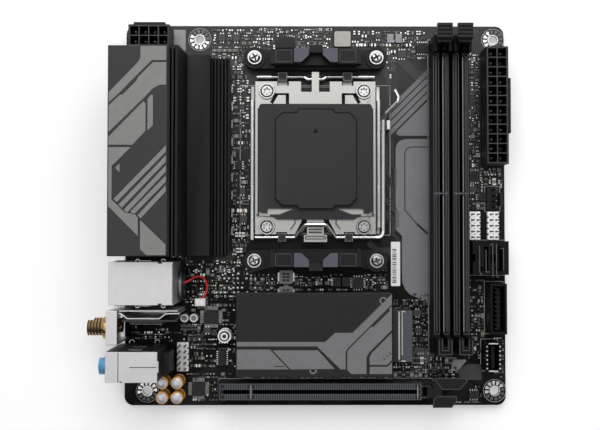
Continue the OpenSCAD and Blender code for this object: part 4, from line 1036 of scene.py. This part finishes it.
def memory_slots(lips):
    """Spring contacts of the memory slots, with their tips, notches and wall strips, the notches drawn as
    painted shade and the lips along the walls as painted highlights.
    """
    wall, tower = 10.5, 21.0
    low, high = 32.4, 155.6
    key_low, key_high = 92.9, 95.0
    first, pitch, count = 34.0, 0.86, 140
    spring_pitch = 0.85
    fingers, tips, notches, strips = Shape(), Shape(), Shape(), Shape()
    for (x0, x1), (y0, y1), (_, top) in islands("dimm_contacts"):
        x = (x0 + x1) / 2
        for k in range(int((y1 - y0) / spring_pitch)):
            y = y0 + 0.5 + spring_pitch * k
            fingers.bar(x, y, 0.36, 0.16, top, top + 1.6)
    for node in ("dimm_slot_1", "dimm_slot_2"):
        (x0, x1), _, _ = span(node)
        x = (x0 + x1) / 2
        ledges = (x - 2.1, x + 2.25)
        for k in range(count):
            y = first + pitch * k
            if key_low < y < key_high:
                continue
            tips.box(x + 0.72, x + 1.12, y - 0.2, y + 0.2, wall, wall + 0.18)
            for ledge in ledges:
                notches.bar(ledge, y, 0.3, 0.25, wall, wall + 0.16)
        for ledge in ledges:
            strips.box(ledge - 0.4, ledge + 0.4, low + 1.2, high - 1.0, *skin(wall, 0.08))
        for s in (-1, 1):
            inner, outer = x + s * 0.92, x + s * 3.15
            for edge in (inner, outer):
                lips.box(edge - 0.13, edge + 0.13, low, high, *skin(wall, 0.12))
            for y in (low, high - 0.3):
                lips.box(min(inner, outer), max(inner, outer), y, y + 0.3, *skin(wall, 0.12))
        lips.box(x - 3.1, x + 3.1, 93.7, 94.3, *skin(wall, 0.14))
        for a, b, c, d in ((-2.9, -2.6, 24.8, 31), (2.6, 2.9, 24.8, 31), (-1.5, -1.25, 26.6, 31),
                           (1.25, 1.5, 26.6, 31), (-1.5, 1.5, 26.4, 26.7), (-2.6, 2.6, 24.7, 24.95)):
            lips.box(x + a, x + b, c, d, *skin(tower, 0.1))
    return fingers, tips, notches, strips


def expansion_slot(lips):
    """The comb of contacts in the expansion slot, painted shade in its chambers, and the marks of its key and
    end.
    """
    (x0, _), (y0, y1), (_, top) = span("pcie_slot")
    middle = (y0 + y1) / 2
    start, end = x0 + 0.6, x0 + 88.4
    comb, shade, marks = Shape(), Shape(), Shape()
    for (a, b), (c, d), (_, height) in islands("pcie_contacts"):
        for k in range(int(b - a)):
            comb.bar(a + 0.5 + k, (c + d) / 2, 0.17, 0.85, height + 1.6, height + 2.32)
    for y in (y0 + 0.3, middle - 1.2, middle + 1.2, y1 - 0.3):
        lips.box(start, end, y - 0.2, y + 0.2, *skin(top, 0.1))
    for x in (start, end - 0.4):
        lips.box(x, x + 0.4, y0 + 0.4, y1 - 0.4, *skin(top, 0.1))
    for y in (y0 + 1.2, y1 - 1.2):
        lips.box(end, end + 4.1, y - 0.15, y + 0.15, *skin(top))
    for s in (-1, 1):
        a, b = sorted((middle + s * 1.35, middle + s * 3.1))
        for c, d in ((1.2, 13.8), (15.0, 86.4)):
            shade.box(x0 + c, x0 + d, a, b, *skin(top, 0.03))
    for x, inset in ((14.1, 0.7), (86.6, 0.8)):
        marks.box(x0 + x, x0 + x + 0.5, y0 + inset, y1 - inset, *skin(top, 0.12))
    return comb, shade, marks


def slot_details():
    """Contacts, walls and edges of the memory and expansion slots, with painted highlights along the walls'
    edges and painted shade in their notches and chambers.
    """
    lips = Shape()
    fingers, tips, notches, strips = memory_slots(lips)
    comb, shade, marks = expansion_slot(lips)
    spring = surface("spring_contact", (0.14, 0.14, 0.143), 0.35, 0.7, fine=6.0)
    comb_grey = surface("comb", (0.13, 0.14, 0.155), 0.45, fine=6.0)
    tip = surface("contact_tip", (0.6, 0.6, 0.6), 0.4, 0.3, fine=6.0)
    strip = surface("slot_strip", (0.05, 0.053, 0.058), 0.5, fine=6.0)
    piece(shade, "expansion_slot_shade", black_print_and_painted_shade)
    piece(marks, "expansion_slot_marks", grey_part, bevel=0.04)
    piece(fingers, "slot_spring_contacts", spring, bevel=0.06)
    piece(comb, "expansion_slot_comb", comb_grey, bevel=0.05)
    piece(lips, "slot_painted_lip_highlights", painted_rim_highlight, bevel=0.04)
    piece(tips, "slot_contact_tips", tip, bevel=0.05)
    piece(notches, "slot_painted_notch_shade", black_print_and_painted_shade)
    piece(strips, "slot_wall_strips", strip, bevel=0.04)
    wings = Shape()
    for path in (
        [(136.2, 13.7), (149.3, 13.7), (150.4, 12.7), (147.2, 9.1), (139.6, 9.1), (136.3, 13.5)],
        [(135.9, 1.3), (143.5, 1.3), (145.6, 4.0), (145.6, 6.0), (137.5, 6.0), (135.9, 4.6), (135.9, 1.4)],
    ):
        wings.band(path, 0.22, 13.78, 13.86)
    piece(wings, "latch_wing_painted_highlights", painted_rim_highlight, "pcie_latch")


PIN_PITCH = 2.54


def power_headers():
    """Painted highlights along the grid walls, and the pin tips, of the two power headers."""
    pitch = 4.2
    rims, tips = Shape(), Shape()
    for node, inset, nx, ny in (("atx_header", 0.0, 2, 12), ("eps_header", 1.0, 4, 2)):
        (x0, _), (y0, _), (_, top) = span(node)
        x0 += inset
        for i in range(nx + 1):
            x = x0 + 0.45 + i * pitch + (0.15 if i == nx else 0)
            rims.box(x - 0.12, x + 0.12, y0 + 0.3, y0 + ny * pitch + 0.9, *skin(top, 0.08))
        for j in range(ny + 1):
            y = y0 + 0.45 + j * pitch + (0.15 if j == ny else 0)
            rims.box(x0 + 0.3, x0 + nx * pitch + 0.9, y - 0.12, y + 0.12, *skin(top, 0.08))
    rim_highlight_grey = surface("header_rim_highlight", (0.085, 0.087, 0.093), 0.4, fine=6.0)
    piece(rims, "header_painted_rim_highlights", rim_highlight_grey, bevel=0.04)
    for x, y, _, top in uprights("power_pins"):
        tips.turned(x, y, [(0.5, top - 0.1), (0.48, top + 0.2), (0.28, top + 0.6), (0.12, top + 0.7)], 14)
    piece(tips, "power_pin_tips", tin)


def header_contacts():
    """Pins inside the fan and data headers, and the feet and contacts of the front port's header."""
    pins, feet, gilt = Shape(), Shape(), Shape()
    (x0, _), (y0, _), (_, top) = span("fan_header")
    for k in range(4):
        pins.bar(x0 + 2.52, y0 + 1.42 + PIN_PITCH * k, 0.32, 0.32, 3.2, top + 0.05)
    (x0, x1), (y0, _), _ = span("usb3_header")
    for k in range(10):
        for s in (-1, 1):
            if (k, s) != (9, 1):
                pins.bar((x0 + x1) / 2 + s * 0.85, y0 + 2.1 + 2.0 * k, 0.16, 0.25, 1.8, 8.4)
    (x0, _), (y0, _), _ = span("sata_ports")
    for slot in (4.9, 11.2):
        for k in range(7):
            pins.bar(x0 + slot + 0.16, y0 + 3.2 + 1.27 * k, 0.1, 0.3, 2.2, 7.6)
    piece(pins, "header_contacts", dull_tin_and_painted_shade, bevel=0.03)
    (x0, x1), (y0, y1), (_, top) = span("usb_c_header")
    for k in range(6):
        for x in (x0 + 0.1, x1 - 0.1):
            feet.bar(x, y0 + 1.5 + 1.9 * k, 0.35, 0.32, top - 0.6, top + 0.06)
    for y in (y0 + 0.325, y1 - 0.325):
        feet.box(x0 + 0.8, x1 - 0.8, y - 0.275, y + 0.275, *skin(top, 0.08))
    for k in range(11):
        for s in (-1, 1):
            gilt.bar((x0 + x1) / 2 + s * 0.56, y0 + 1.8 + 0.9 * k, 0.08, 0.2, 2.2, 8.3)
    piece(feet, "header_feet", tin, bevel=0.05)
    piece(gilt, "front_port_contacts", dull_tin_and_painted_shade, bevel=0.03)


def data_port_painted_highlights():
    """Painted highlights along the top edges of the data ports' walls."""
    _, _, (_, top) = span("usb_c_header")
    walls = Shape()
    for path in ([(156.7, 71.0), (156.7, 59.4), (157.7, 58.4)], [(159.5, 69.3), (159.5, 59.6), (161.2, 59.6)],
                 [(161.2, 71.2), (162.5, 72.0), (162.5, 57.4)], [(164.1, 72.0), (164.1, 57.6)],
                 [(165.7, 69.9), (167.2, 69.9), (167.2, 60.3)], [(164.1, 57.6), (165.2, 57.2)]):
        walls.band(path, 0.3, *skin(top, 0.14))
    rim_highlight_grey = surface("port_rim_highlight", (0.12, 0.122, 0.128), 0.4, fine=6.0)
    piece(walls, "data_port_painted_highlights", rim_highlight_grey, bevel=0.04)


def bumpy_headers():
    """The joined eight-sided cells of the pin headers, with a dark hole round each pin and dark notches
    between cells as painted shade; the right-hand header's cells glow, painted light.
    """
    half, side, flat = PIN_PITCH / 2, 1.2, 0.62
    cell = [(-half, -flat), (-flat, -side), (flat, -side), (half, -flat), (half, flat), (flat, side),
            (-flat, side), (-half, flat)]
    bright, grey, holes = Shape(), Shape(), Shape()
    for (x0, x1), (y0, _), (_, top) in islands("pin_headers"):
        cells = bright if x0 > 100 else grey
        for i in range(2):
            for j in range(5):
                x, y = x0 + half + PIN_PITCH * i, y0 + half + PIN_PITCH * j
                cells.prism(shifted(cell, x, y), top - 0.5, top + 0.35)
                holes.arc_band(x, y, 0.3, 0.5, top + 0.3, top + 0.37, steps=12)
        for j in range(4):
            y = y0 + PIN_PITCH * (j + 1)
            for x in (x0 - 0.02, x1 - 0.5):
                holes.box(x, x + 0.52, y - 0.22, y + 0.22, top - 1.2, top + 0.38)
    glossy_painted_glow = surface("glossy_white_painted_glow", (0.95, 0.95, 0.94), 0.3, fine=5.0, spread=0.03, coat=0.3)
    glow = glossy_painted_glow.node_tree.nodes["Principled BSDF"].inputs
    glow["Emission Color"].default_value = (1, 1, 1, 1)
    glow["Emission Strength"].default_value = 0.3
    piece(bright, "pin_header_cells_painted_glow", glossy_painted_glow, bevel=0.12, segments=2)
    piece(grey, "audio_header_cells", white_plastic, bevel=0.12, segments=2)
    piece(holes, "pin_header_painted_shade", black_print_and_painted_shade)


# ---------- rear ports ----------


def network_port(seams):
    """Springs, lamps and contacts of the network and USB block."""
    (x0, x1), (y0, y1), (_, top) = span("lan_usb_port")
    springs, lamps, wires = Shape(), Shape(), Shape()
    for dx in (12.2, 23.0):
        for side_y, start in ((y1, 0), (y0, 180)):
            springs.arc_band(x0 + dx - 0.4, side_y, 0.6, 1.05, 25.6, 26.1, start, 180, 14)
    for dx in (2.0, 12.8):
        for y in (y1 + 0.125, y0 - 0.125):
            springs.box(x0 + dx, x0 + dx + 4.5, y - 0.225, y + 0.225, 20.5, 25.5)
    # Dark seams on the block's top: painted shade
    for y in (y0 + 0.55, y1 - 0.55):
        seams.box(x0 + 20.6, x0 + 22.2, y - 0.45, y + 0.45, *skin(top))
    seams.box(x1 - 0.35, x1 - 0.15, y0 + 1.2, y1 - 1.2, *skin(top))
    for y in (y0 + 1.6, y1 - 3.4):
        lamps.box(x0 - 0.1, x0 + 0.3, y, y + 1.9, 25.0, 26.8)
    for k in range(8):
        y = (y0 + y1) / 2 - 3.57 + 1.02 * k
        wires.tube([(x0 + 2.0, y, 17.0), (x0 + 6.0, y, 19.2), (x0 + 12.8, y, 20.4)], 0.18, 8)
    lens = surface("lamp", (0.5, 0.55, 0.3), 0.25, fine=3.0, coat=0.5)
    piece(springs, "network_port_springs", shield, bevel=0.08)
    piece(lamps, "network_port_lamps", lens, bevel=0.15)
    piece(wires, "network_port_contacts", gold)


def audio_block(seams):
    """Tabs and seams of the audio shield, the seams drawn as painted shade, and the dark sides of the block
    below it.
    """
    (x0, x1), (y0, y1), (_, top) = span("audio_shield")
    mid = (y0 + y1) / 2
    seams.box(x0 + 5.2, x0 + 5.5, y0 + 0.2, y1 - 0.2, *skin(top))
    seams.box(x0 + 10.0, x1 - 0.4, mid - 0.15, mid + 0.15, *skin(top))
    seams.box(x0 + 6.0, x0 + 6.9, y0 + 0.1, y0 + 0.6, *skin(top, 0.05))
    tabs, sides = Shape(), Shape()
    tabs.box(x1 - 0.6, x1 + 0.5, mid - 2.2, mid + 2.4, top - 1.4, top - 0.1)
    for z in (12.0, 23.5):
        for y in (y0 - 0.02, y1 + 0.02):
            tabs.box(x0 + 8, x0 + 14, y - 0.12, y + 0.12, z, z + 4)
    sides.box(x0 + 0.5, x1 + 0.04, y1 - 0.02, y1 + 0.05, 0.5, top - 0.35)
    sides.box(x1 - 0.02, x1 + 0.05, y0 + 0.3, y1 + 0.04, 0.5, top - 0.5)
    piece(tabs, "audio_shield_tabs", shield, bevel=0.08)
    piece(sides, "audio_side_film", black_print_and_painted_shade, bevel=0.02)


def port_contacts():
    """Contacts on the rear ports' tongues, and the spring leaves in their shells."""
    strips, folds = Shape(), Shape()
    for (x0, x1), (y0, y1), (z0, z1) in islands("port_tongues"):
        count, half = (4, 0.5) if z1 - z0 > 1.5 else (10, 0.2)
        for k in range(count):
            y = y0 + (k + 0.5) * (y1 - y0) / count
            strips.box(x0 + 0.6, x1 - 2.5, y - half, y + half, z0 - 0.06, z0 + 0.02)
    piece(strips, "port_tongue_contacts", gold)
    for node in ("usb_ports", "display_ports"):
        for (x0, _), (y0, y1), (_, top) in islands(node):
            for y in (y0 + 2.2, y1 - 4.0):
                folds.box(x0 + 3.0, x0 + 8.5, y, y + 1.8, *skin(top, 0.12))
    piece(folds, "port_spring_leaves", shield, bevel=0.08)


def rear_ports():
    """The network and audio blocks, which share the piece of their seams drawn as painted shade, and the
    other ports.
    """
    seams = Shape()
    network_port(seams)
    audio_block(seams)
    piece(seams, "shield_painted_seam_shade", black_print_and_painted_shade)
    port_contacts()


def antenna_details():
    """Threads and hexagon flats of the two antenna connectors, and their centre contacts, with painted shade
    in the threads' grooves.
    """
    threads, nuts, cores, grooves = Shape(), Shape(), Shape(), Shape()
    for (x0, _), (y0, y1), (z0, z1) in islands("antenna_connectors"):
        y, z = (y0 + y1) / 2, (z0 + z1) / 2
        profile = [(2.4, x0 + 0.05)]
        for k in range(9):
            a = x0 + 0.25 + 0.64 * k
            profile += [(3.0, a), (3.27, a + 0.32)]
        profile += [(3.0, x0 + 6.1)]
        threads.rings(lathe_hollow(profile, 2.35, y, z))
        for k in range(5):
            a = x0 + 0.06 + 1.28 * k
            grooves.rings(lathe_hollow([(2.9, a), (3.29, a), (3.29, a + 0.3), (2.9, a + 0.3)], 2.6, y, z))
        nuts.turned_x(y, z, [(4.75, x0 + 6.5), (4.75, x0 + 8.6)], 6)
        cores.turned_x(y, z, [(0.35, x0 + 1.2), (0.6, x0 + 2.0), (0.55, x0 + 4.4)], 16)
    piece(threads, "antenna_threads", brass)
    piece(grooves, "antenna_thread_painted_shade", black_print_and_painted_shade)
    piece(nuts, "antenna_nuts", brass, bevel=0.15, segments=2)
    piece(cores, "antenna_contacts", gold)


def lathe_hollow(profile, inner, y, z, sides=36):
    """Rings about X of an outer profile closed back through a plain bore."""
    path = profile + [(inner, profile[-1][1]), (inner, profile[0][1]), profile[0]]
    turn = [2 * math.pi * k / sides for k in range(sides)]
    return [[(x, y + r * math.cos(t), z + r * math.sin(t)) for t in turn] for r, x in path]


def wireless_card():
    """The can on the wireless card, and the two leads to the antennas."""
    (x0, _), (y0, y1), _ = span("wifi_card")
    can, leads = Shape(), Shape()
    can.box(x0 + 2.6, x0 + 16.2, y0 - 0.12, y0 + 0.05, 9.4, 22.6)
    for k in range(5):
        can.box(x0 + 3.6 + 2.6 * k, x0 + 4.6 + 2.6 * k, y0 - 0.16, y0 - 0.04, 10.0, 22.0)
    piece(can, "wireless_can", shield, bevel=0.1)
    for z, dx in ((20.5, 1.0), (18.0, 2.4)):
        leads.tube([(x0 + dx, y1 + 0.1, z), (x0 + dx - 1.2, y1 + 1.2, z + 0.5), (x0 - 1.4, y1 - 1.6, z + 0.4),
                    (x0 - 2.8, 36.6, z)], 0.45, 10)
    piece(leads, "antenna_leads", black)


def coils():
    """Sleeves of the round coils, and the ends and printed grid of the flat ones."""
    sleeves, ends, grid = Shape(), Shape(), Shape()
    for (x0, x1), (y0, y1), (_, top) in islands("power_inductors"):
        x, y = (x0 + x1) / 2, (y0 + y1) / 2
        if top > 4:
            sleeves.turned(x, y, [(1.95, 0.1), (1.95, top - 0.2), (1.75, top + 0.05), (1.2, top + 0.05),
                                  (1.1, top - 0.15), (0.3, top - 0.15)], 32)
            continue
        for end in (x0 - 0.2, x1 + 0.2):
            ends.bar(end, y, 0.5, 2.0, 0.1, top * 0.6)
        for i in range(2):
            for j in range(3):
                grid.bar(x0 + 2.1 + 1.7 * i, y0 + 1.55 + 1.4 * j, 0.6, 0.45, *skin(top, 0.03))
    piece(sleeves, "can_sleeves", shield)
    piece(grid, "inductor_grid", epoxy, bevel=0.03)
    piece(ends, "inductor_ends", tin, bevel=0.1)


def standoff_and_loops():
    """Rings of the storage standoff with painted shade in its gap and hole, and the loops of the wireless
    cage's feet.
    """
    (x, y, _, top), = uprights("m2_standoff")
    rings, gap, loops = Shape(), Shape(), Shape()
    rings.arc_band(x, y, 2.3, 3.15, 0, 0.1)
    rings.arc_band(x, y, 0.85, 1.65, top - 0.05, top + 0.1)
    gap.arc_band(x, y, 1.66, 2.3, *skin(top, 0.03))
    gap.turned(x, y, [(0.84, top - 0.1), (0.84, top + 0.03)], 20)
    piece(rings, "standoff_rings", tin, bevel=0.03)
    piece(gap, "standoff_painted_shade", black_print_and_painted_shade)
    for x in (3.2, 14.5):
        loops.arc_band(x, 28.0, 0.85, 1.3, 0.0, 0.4, 0, 200, 24)
        loops.arc_band(x, 28.0, 0.95, 1.2, 0.0, 0.3, 200, 160, 16)
    piece(loops, "cage_feet_rings", tin, bevel=0.1)


def capacitor_tops():
    """Bright crowns of the audio capacitors, over their gold sleeves."""
    crowns, rims = Shape(), Shape()
    for x, y, _, top in uprights("audio_capacitors"):
        crown = [(2.2, top - 0.5), (2.2, top + 0.02), (2.0, top + 0.14), (0.4, top + 0.14)]
        crowns.turned(x, y, crown, 32)
        rims.arc_band(x, y, 2.55, 2.72, 0.5, 1.0, steps=32)
        rims.arc_band(x, y, 2.35, 2.66, top - 1.2, top - 0.9, steps=32)
    piece(crowns, "capacitor_crowns", lilac_top)
    piece(rims, "capacitor_rims", sleeve_gold, bevel=0.05)


def battery_details():
    """The cell's crimped rim, its two leads and the plug's crimps."""
    (x0, x1), (y0, y1), (z0, z1) = span("battery")
    y, z, radius = (y0 + y1) / 2, (z0 + z1) / 2, (y1 - y0) / 2
    rim = Shape()
    rim.turned_x(y, z, [(radius - 0.8, x0 - 0.05), (radius - 0.1, x0 + 0.1), (radius + 0.03, x0 + 0.5),
                        (radius + 0.03, x1 - 0.7), (radius - 0.5, x1 - 0.1), (radius - 1.6, x1 + 0.03)], 48)
    case = surface("battery_case", (0.3, 0.3, 0.31), 0.34, 0.8, fine=5.0)
    piece(rim, "battery_rim", case)
    red_route = [(27.2, 55, 9.5), (28.4, 55.2, 9.2), (30.4, 56.4, 7.7), (32.6, 57.4, 5.2),
                 (34.7, 57.0, 3.6), (36.0, 55.6, 2.8), (36.6, 53.6, 2.4), (36.7, 51.5, 2.4),
                 (36.1, 49.5, 2.8), (34.6, 47.8, 3.2)]
    black_route = [(27.2, 53, 9), (28, 53.1, 8.9), (29.1, 53.4, 7.1), (30.2, 53, 4.7), (31.4, 51.5, 2.9),
                   (32.3, 49.7, 2.8), (32.8, 47.8, 3.2)]
    red, dark = Shape(), Shape()
    red.tube(smoothed(red_route), 0.45, 14)
    dark.tube(smoothed(black_route), 0.5, 14)
    red_piece = piece(red, "battery_lead_red", red_lead)
    piece(dark, "battery_lead_black", black)
    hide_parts("battery_leads")
    crimps = Shape()
    (x0, x1), (y0, y1), (_, top) = span("battery_plug")
    for x in (x0 + 1.2, x1 - 1.6):
        crimps.box(x - 0.4, x + 0.4, y0 + 0.6, y1 - 0.6, *skin(top, 0.06))
    piece(crimps, "battery_plug_crimps", tin, bevel=0.03)


def smoothed(route, steps=8):
    """A Catmull-Rom curve through the route's points."""
    points = [Vector(p) for p in route]
    points = [2 * points[0] - points[1]] + points + [2 * points[-1] - points[-2]]
    curve = []
    for i in range(1, len(points) - 2):
        a, b, c, d = points[i - 1:i + 3]
        for k in range(steps):
            t = k / steps
            curve.append(0.5 * (2 * b + (c - a) * t + (2 * a - 5 * b + 4 * c - d) * t * t
                                + (3 * b - a - 3 * c + d) * t ** 3))
    curve.append(points[-2])
    return curve


def storage_details():
    """Contacts and clips of the storage socket beside the memory slots, with painted shade in its openings.
    """
    _, _, (_, top) = span("m2_connectors")
    x0, y0, y1 = 118.8, 20.2, 42.6
    shade, strips, pads = Shape(), Shape(), Shape()
    for a, b in ((0.1, 2.3), (3.2, 3.7)):
        shade.box(x0 + a, x0 + b, y0 + 0.1, y1 - 0.1, *skin(top, 0.03))
    strips.box(x0 + 2.4, x0 + 3.1, y0 + 1.0, y1 - 0.4, *skin(top, 0.08))
    strips.box(x0 + 3.8, x0 + 4.3, y0 + 3.0, y1 - 1.0, *skin(top, 0.06))
    for y in (y0 + 0.4, y1 - 0.4):
        pads.box(x0 + 0.5, x0 + 2.6, y - 0.9, y - 0.2, 0, 0.3)
        pads.box(x0 + 3.6, x0 + 5.6, y - 0.3, y + 0.3, *skin(top, 0.1))
    piece(shade, "storage_socket_shade", black_print_and_painted_shade)
    piece(strips, "storage_socket_strips", tin, bevel=0.03)
    piece(pads, "storage_socket_contacts", tin, bevel=0.03)


def top_row_parts():
    """The pale coil and two grey ones along the top edge."""
    face, tiles = Shape(), Shape()
    upper = [chip for chip in islands("ic_packages") if chip[1][0] > TOP_ROW]
    (x0, x1), (y0, y1), (_, top) = max(upper, key=lambda r: (r[0][1] - r[0][0]) * (r[1][1] - r[1][0]))
    inset = 0.15
    face.prism(chamfered(x0 + inset, x1 - inset, y0 + inset, y1 - inset, 0.45), top, top + 0.05)
    for x in (117.2, 121.0):
        tiles.box(x, x + 3.0, 162.2, 166.2, 0, 1.6)
    piece(face, "top_row_coil_face", beige_part, bevel=0.05)
    piece(tiles, "top_row_coils", grey_part, bevel=0.15, segments=2)


def square_chips():
    """The chips that only Blender has, left out where a CAD chip already stands."""
    pitch = 1.15
    chips, legs = Shape(), Shape()
    taken = [loose[:2] for loose in islands("ic_packages")]
    for x, y, w, h in ODD_CHIPS:
        if any(abs(x - (a + b) / 2) < (w + b - a) / 2 and abs(y - (c + d) / 2) < (h + d - c) / 2
               for (a, b), (c, d) in taken):
            continue
        chips.box(x - w / 2, x + w / 2, y - h / 2, y + h / 2, 0, 1.0)
        count = int(w / pitch)
        for k in range(count):
            for s in (-1, 1):
                legs.bar(x + (k - (count - 1) / 2) * pitch, y + s * (h / 2 + 0.35), 0.25, 0.4, 0, 0.25)
    grey = surface("square_chip", (0.04, 0.04, 0.042), 0.45, fine=6.0, bump=0.4)
    piece(chips, "small_square_chips", grey, bevel=0.06)
    piece(legs, "small_square_chip_legs", tin, bevel=0.04)


def choke_feet():
    """Bright feet in a row along the cover's edge."""
    feet = Shape()
    for k in range(9):
        y = 142.0 - 8.0 * k
        feet.box(47.35, 47.95, y - 2.2, y + 1.6, 0, 0.12)
        feet.box(47.95, 48.6, y + 0.9, y + 1.6, 0, 0.12)
    piece(feet, "choke_feet", tin, bevel=0.05)


def sticker_label():
    """A blank label with generic bars."""
    base, bars = Shape(), Shape()
    x0, x1, y0, y1 = 118.9, 123.0, 53.0, 72.8
    base.prism(chamfered(x0, x1, y0, y1, 0.3), 0.02, 0.1)
    y = y0 + 1.4
    while y < y1 - 3.0:
        width = rng.choice((0.18, 0.3, 0.45))
        bars.box(x0 + 0.6, x0 + 2.4, y, y + width, 0.1, 0.12)
        y += width + rng.choice((0.25, 0.4))
    piece(base, "label", sticker)
    piece(bars, "label_bars", black_print_and_painted_shade)


def underside():
    """Small parts, vias and a plain mark on the board's back."""
    z = -BOARD_T
    part_tries, via_tries, hole_clear = 220, 420, 6.5
    bodies, ends, rings = Shape(), Shape(), Shape()

    def on_backplate(x, y):
        """Whether the cooler's backplate covers a place."""
        return 54 < x < 116 and 57 < y < 162

    for _ in range(part_tries):
        x, y = 6 + 158 * rng.random(), 5 + 160 * rng.random()
        if on_backplate(x, y) or min(math.hypot(x - a, y - b) for a, b in HOLES) < hole_clear:
            continue
        if x > 150 or (x < 24 and y < 106) or (x < 24 and y > 156):
            continue
        bodies.bar(x, y, 0.3, 0.4, z - 0.4, z)
        for s in (-0.65, 0.4):
            ends.box(x - 0.3, x + 0.3, y + s, y + s + 0.25, z - 0.42, z)
    for _ in range(via_tries):
        x, y = 4 + 160 * rng.random(), 4 + 162 * rng.random()
        if on_backplate(x, y):
            continue
        rings.arc_band(x, y, 0.15, 0.32, z - 0.03, z + 0.01, steps=8)
    piece(bodies, "underside_parts", tan_part, bevel=0.04)
    piece(ends, "underside_part_ends", tin, bevel=0.03)
    piece(rings, "underside_vias", gold)
    stamp = Shape()
    (x0, x1), (y0, y1), (bottom, _) = span("cooler_backplate")
    cx, cy = (x0 + x1) / 2, (y0 + y1) / 2
    stamp.arc_band(cx, cy, 15.6, 16.2, bottom - 0.004, bottom + 0.01, steps=48)
    for sx in (-1, 1):
        stamp.band([(cx + sx * 20, cy - 22), (cx + sx * 20, cy + 22)], 0.5, bottom - 0.004, bottom + 0.01)
    piece(stamp, "backplate_stamp", painted_steel)


# ---------- stage ----------


def stage():
    """Plain pale floor, soft studio light, and the camera."""
    low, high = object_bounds()
    floor_mesh = bpy.data.meshes.new("floor")
    reach = 9.0
    z = low[2] - 0.0002
    corners = [(-reach, -reach, z), (reach, -reach, z), (reach, reach, z), (-reach, reach, z)]
    floor_mesh.from_pydata(corners, [], [(0, 1, 2, 3)])
    floor = bpy.data.objects.new("floor", floor_mesh)
    bpy.context.scene.collection.objects.link(floor)
    paper = surface("floor", (0.96, 0.96, 0.96), 0.9, spread=0.01, grain=0.01, fine=0.1, bump=0.02)
    glow = paper.node_tree.nodes["Principled BSDF"]
    glow.inputs["Emission Color"].default_value = (1, 1, 1, 1)
    glow.inputs["Emission Strength"].default_value = 0.26
    floor_mesh.materials.append(paper)
    floor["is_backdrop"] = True

    world = bpy.data.worlds.new("studio")
    world.use_nodes = True
    tree = world.node_tree
    background = tree.nodes["Background"]
    split = tree.nodes.new("ShaderNodeSeparateXYZ")
    tree.links.new(tree.nodes.new("ShaderNodeTexCoord").outputs["Generated"], split.inputs["Vector"])
    sky = ranged(tree, split.outputs["Y"], 0.08, 0.75, (-0.3, 0.4))
    tree.links.new(sky, background.inputs["Strength"])
    background.inputs["Color"].default_value = (0.97, 0.98, 1.0, 1)
    bpy.context.scene.world = world

    middle = (Vector(low) + Vector(high)) / 2
    for name, offset, size, power in (
        ("key", (0.0, 0.5, 0.62), 0.7, 3.2),
        ("left", (-0.22, -0.1, 0.72), 0.35, 0.45),
        ("fill", (0.4, -0.3, 0.6), 0.5, 0.7),
    ):
        light = bpy.data.lights.new(name, "AREA")
        light.size = size
        light.energy = power
        lamp = bpy.data.objects.new(name, light)
        lamp.location = middle + Vector(offset)
        lamp.rotation_euler = (middle - lamp.location).to_track_quat("-Z", "Y").to_euler()
        bpy.context.scene.collection.objects.link(lamp)

    camera = bpy.data.objects.new("camera", bpy.data.cameras.new("camera"))
    camera.data.lens = 56.66
    camera.data.sensor_width = 36.0
    camera.data.clip_start = 0.01
    turns = ((-0.0292, "X"), (0.0065, "Y"), (-0.0005, "Z"))
    turned = Matrix.Identity(4)
    for angle, axis in turns:
        turned = turned @ Matrix.Rotation(-angle, 4, axis)
    camera.matrix_world = Matrix.Translation(place(75.38, 72.44, 423.27)) @ turned
    bpy.context.scene.collection.objects.link(camera)
    bpy.context.scene.camera = camera
    bpy.context.scene.view_settings.view_transform = "Standard"


dress_nodes()
cover_prints()
sink_prints()
board_prints()
component_outlines()
hole_pads()
board_edge()
traces()
small_parts()
chip_leads()
solder_dots()
cap_marks()
plate_details()
frame_details()
bracket_details()
slot_details()
power_headers()
header_contacts()
bumpy_headers()
data_port_painted_highlights()
rear_ports()
antenna_details()
wireless_card()
coils()
standoff_and_loops()
capacitor_tops()
battery_details()
storage_details()
top_row_parts()
square_chips()
choke_feet()
sticker_label()
underside()
stage()
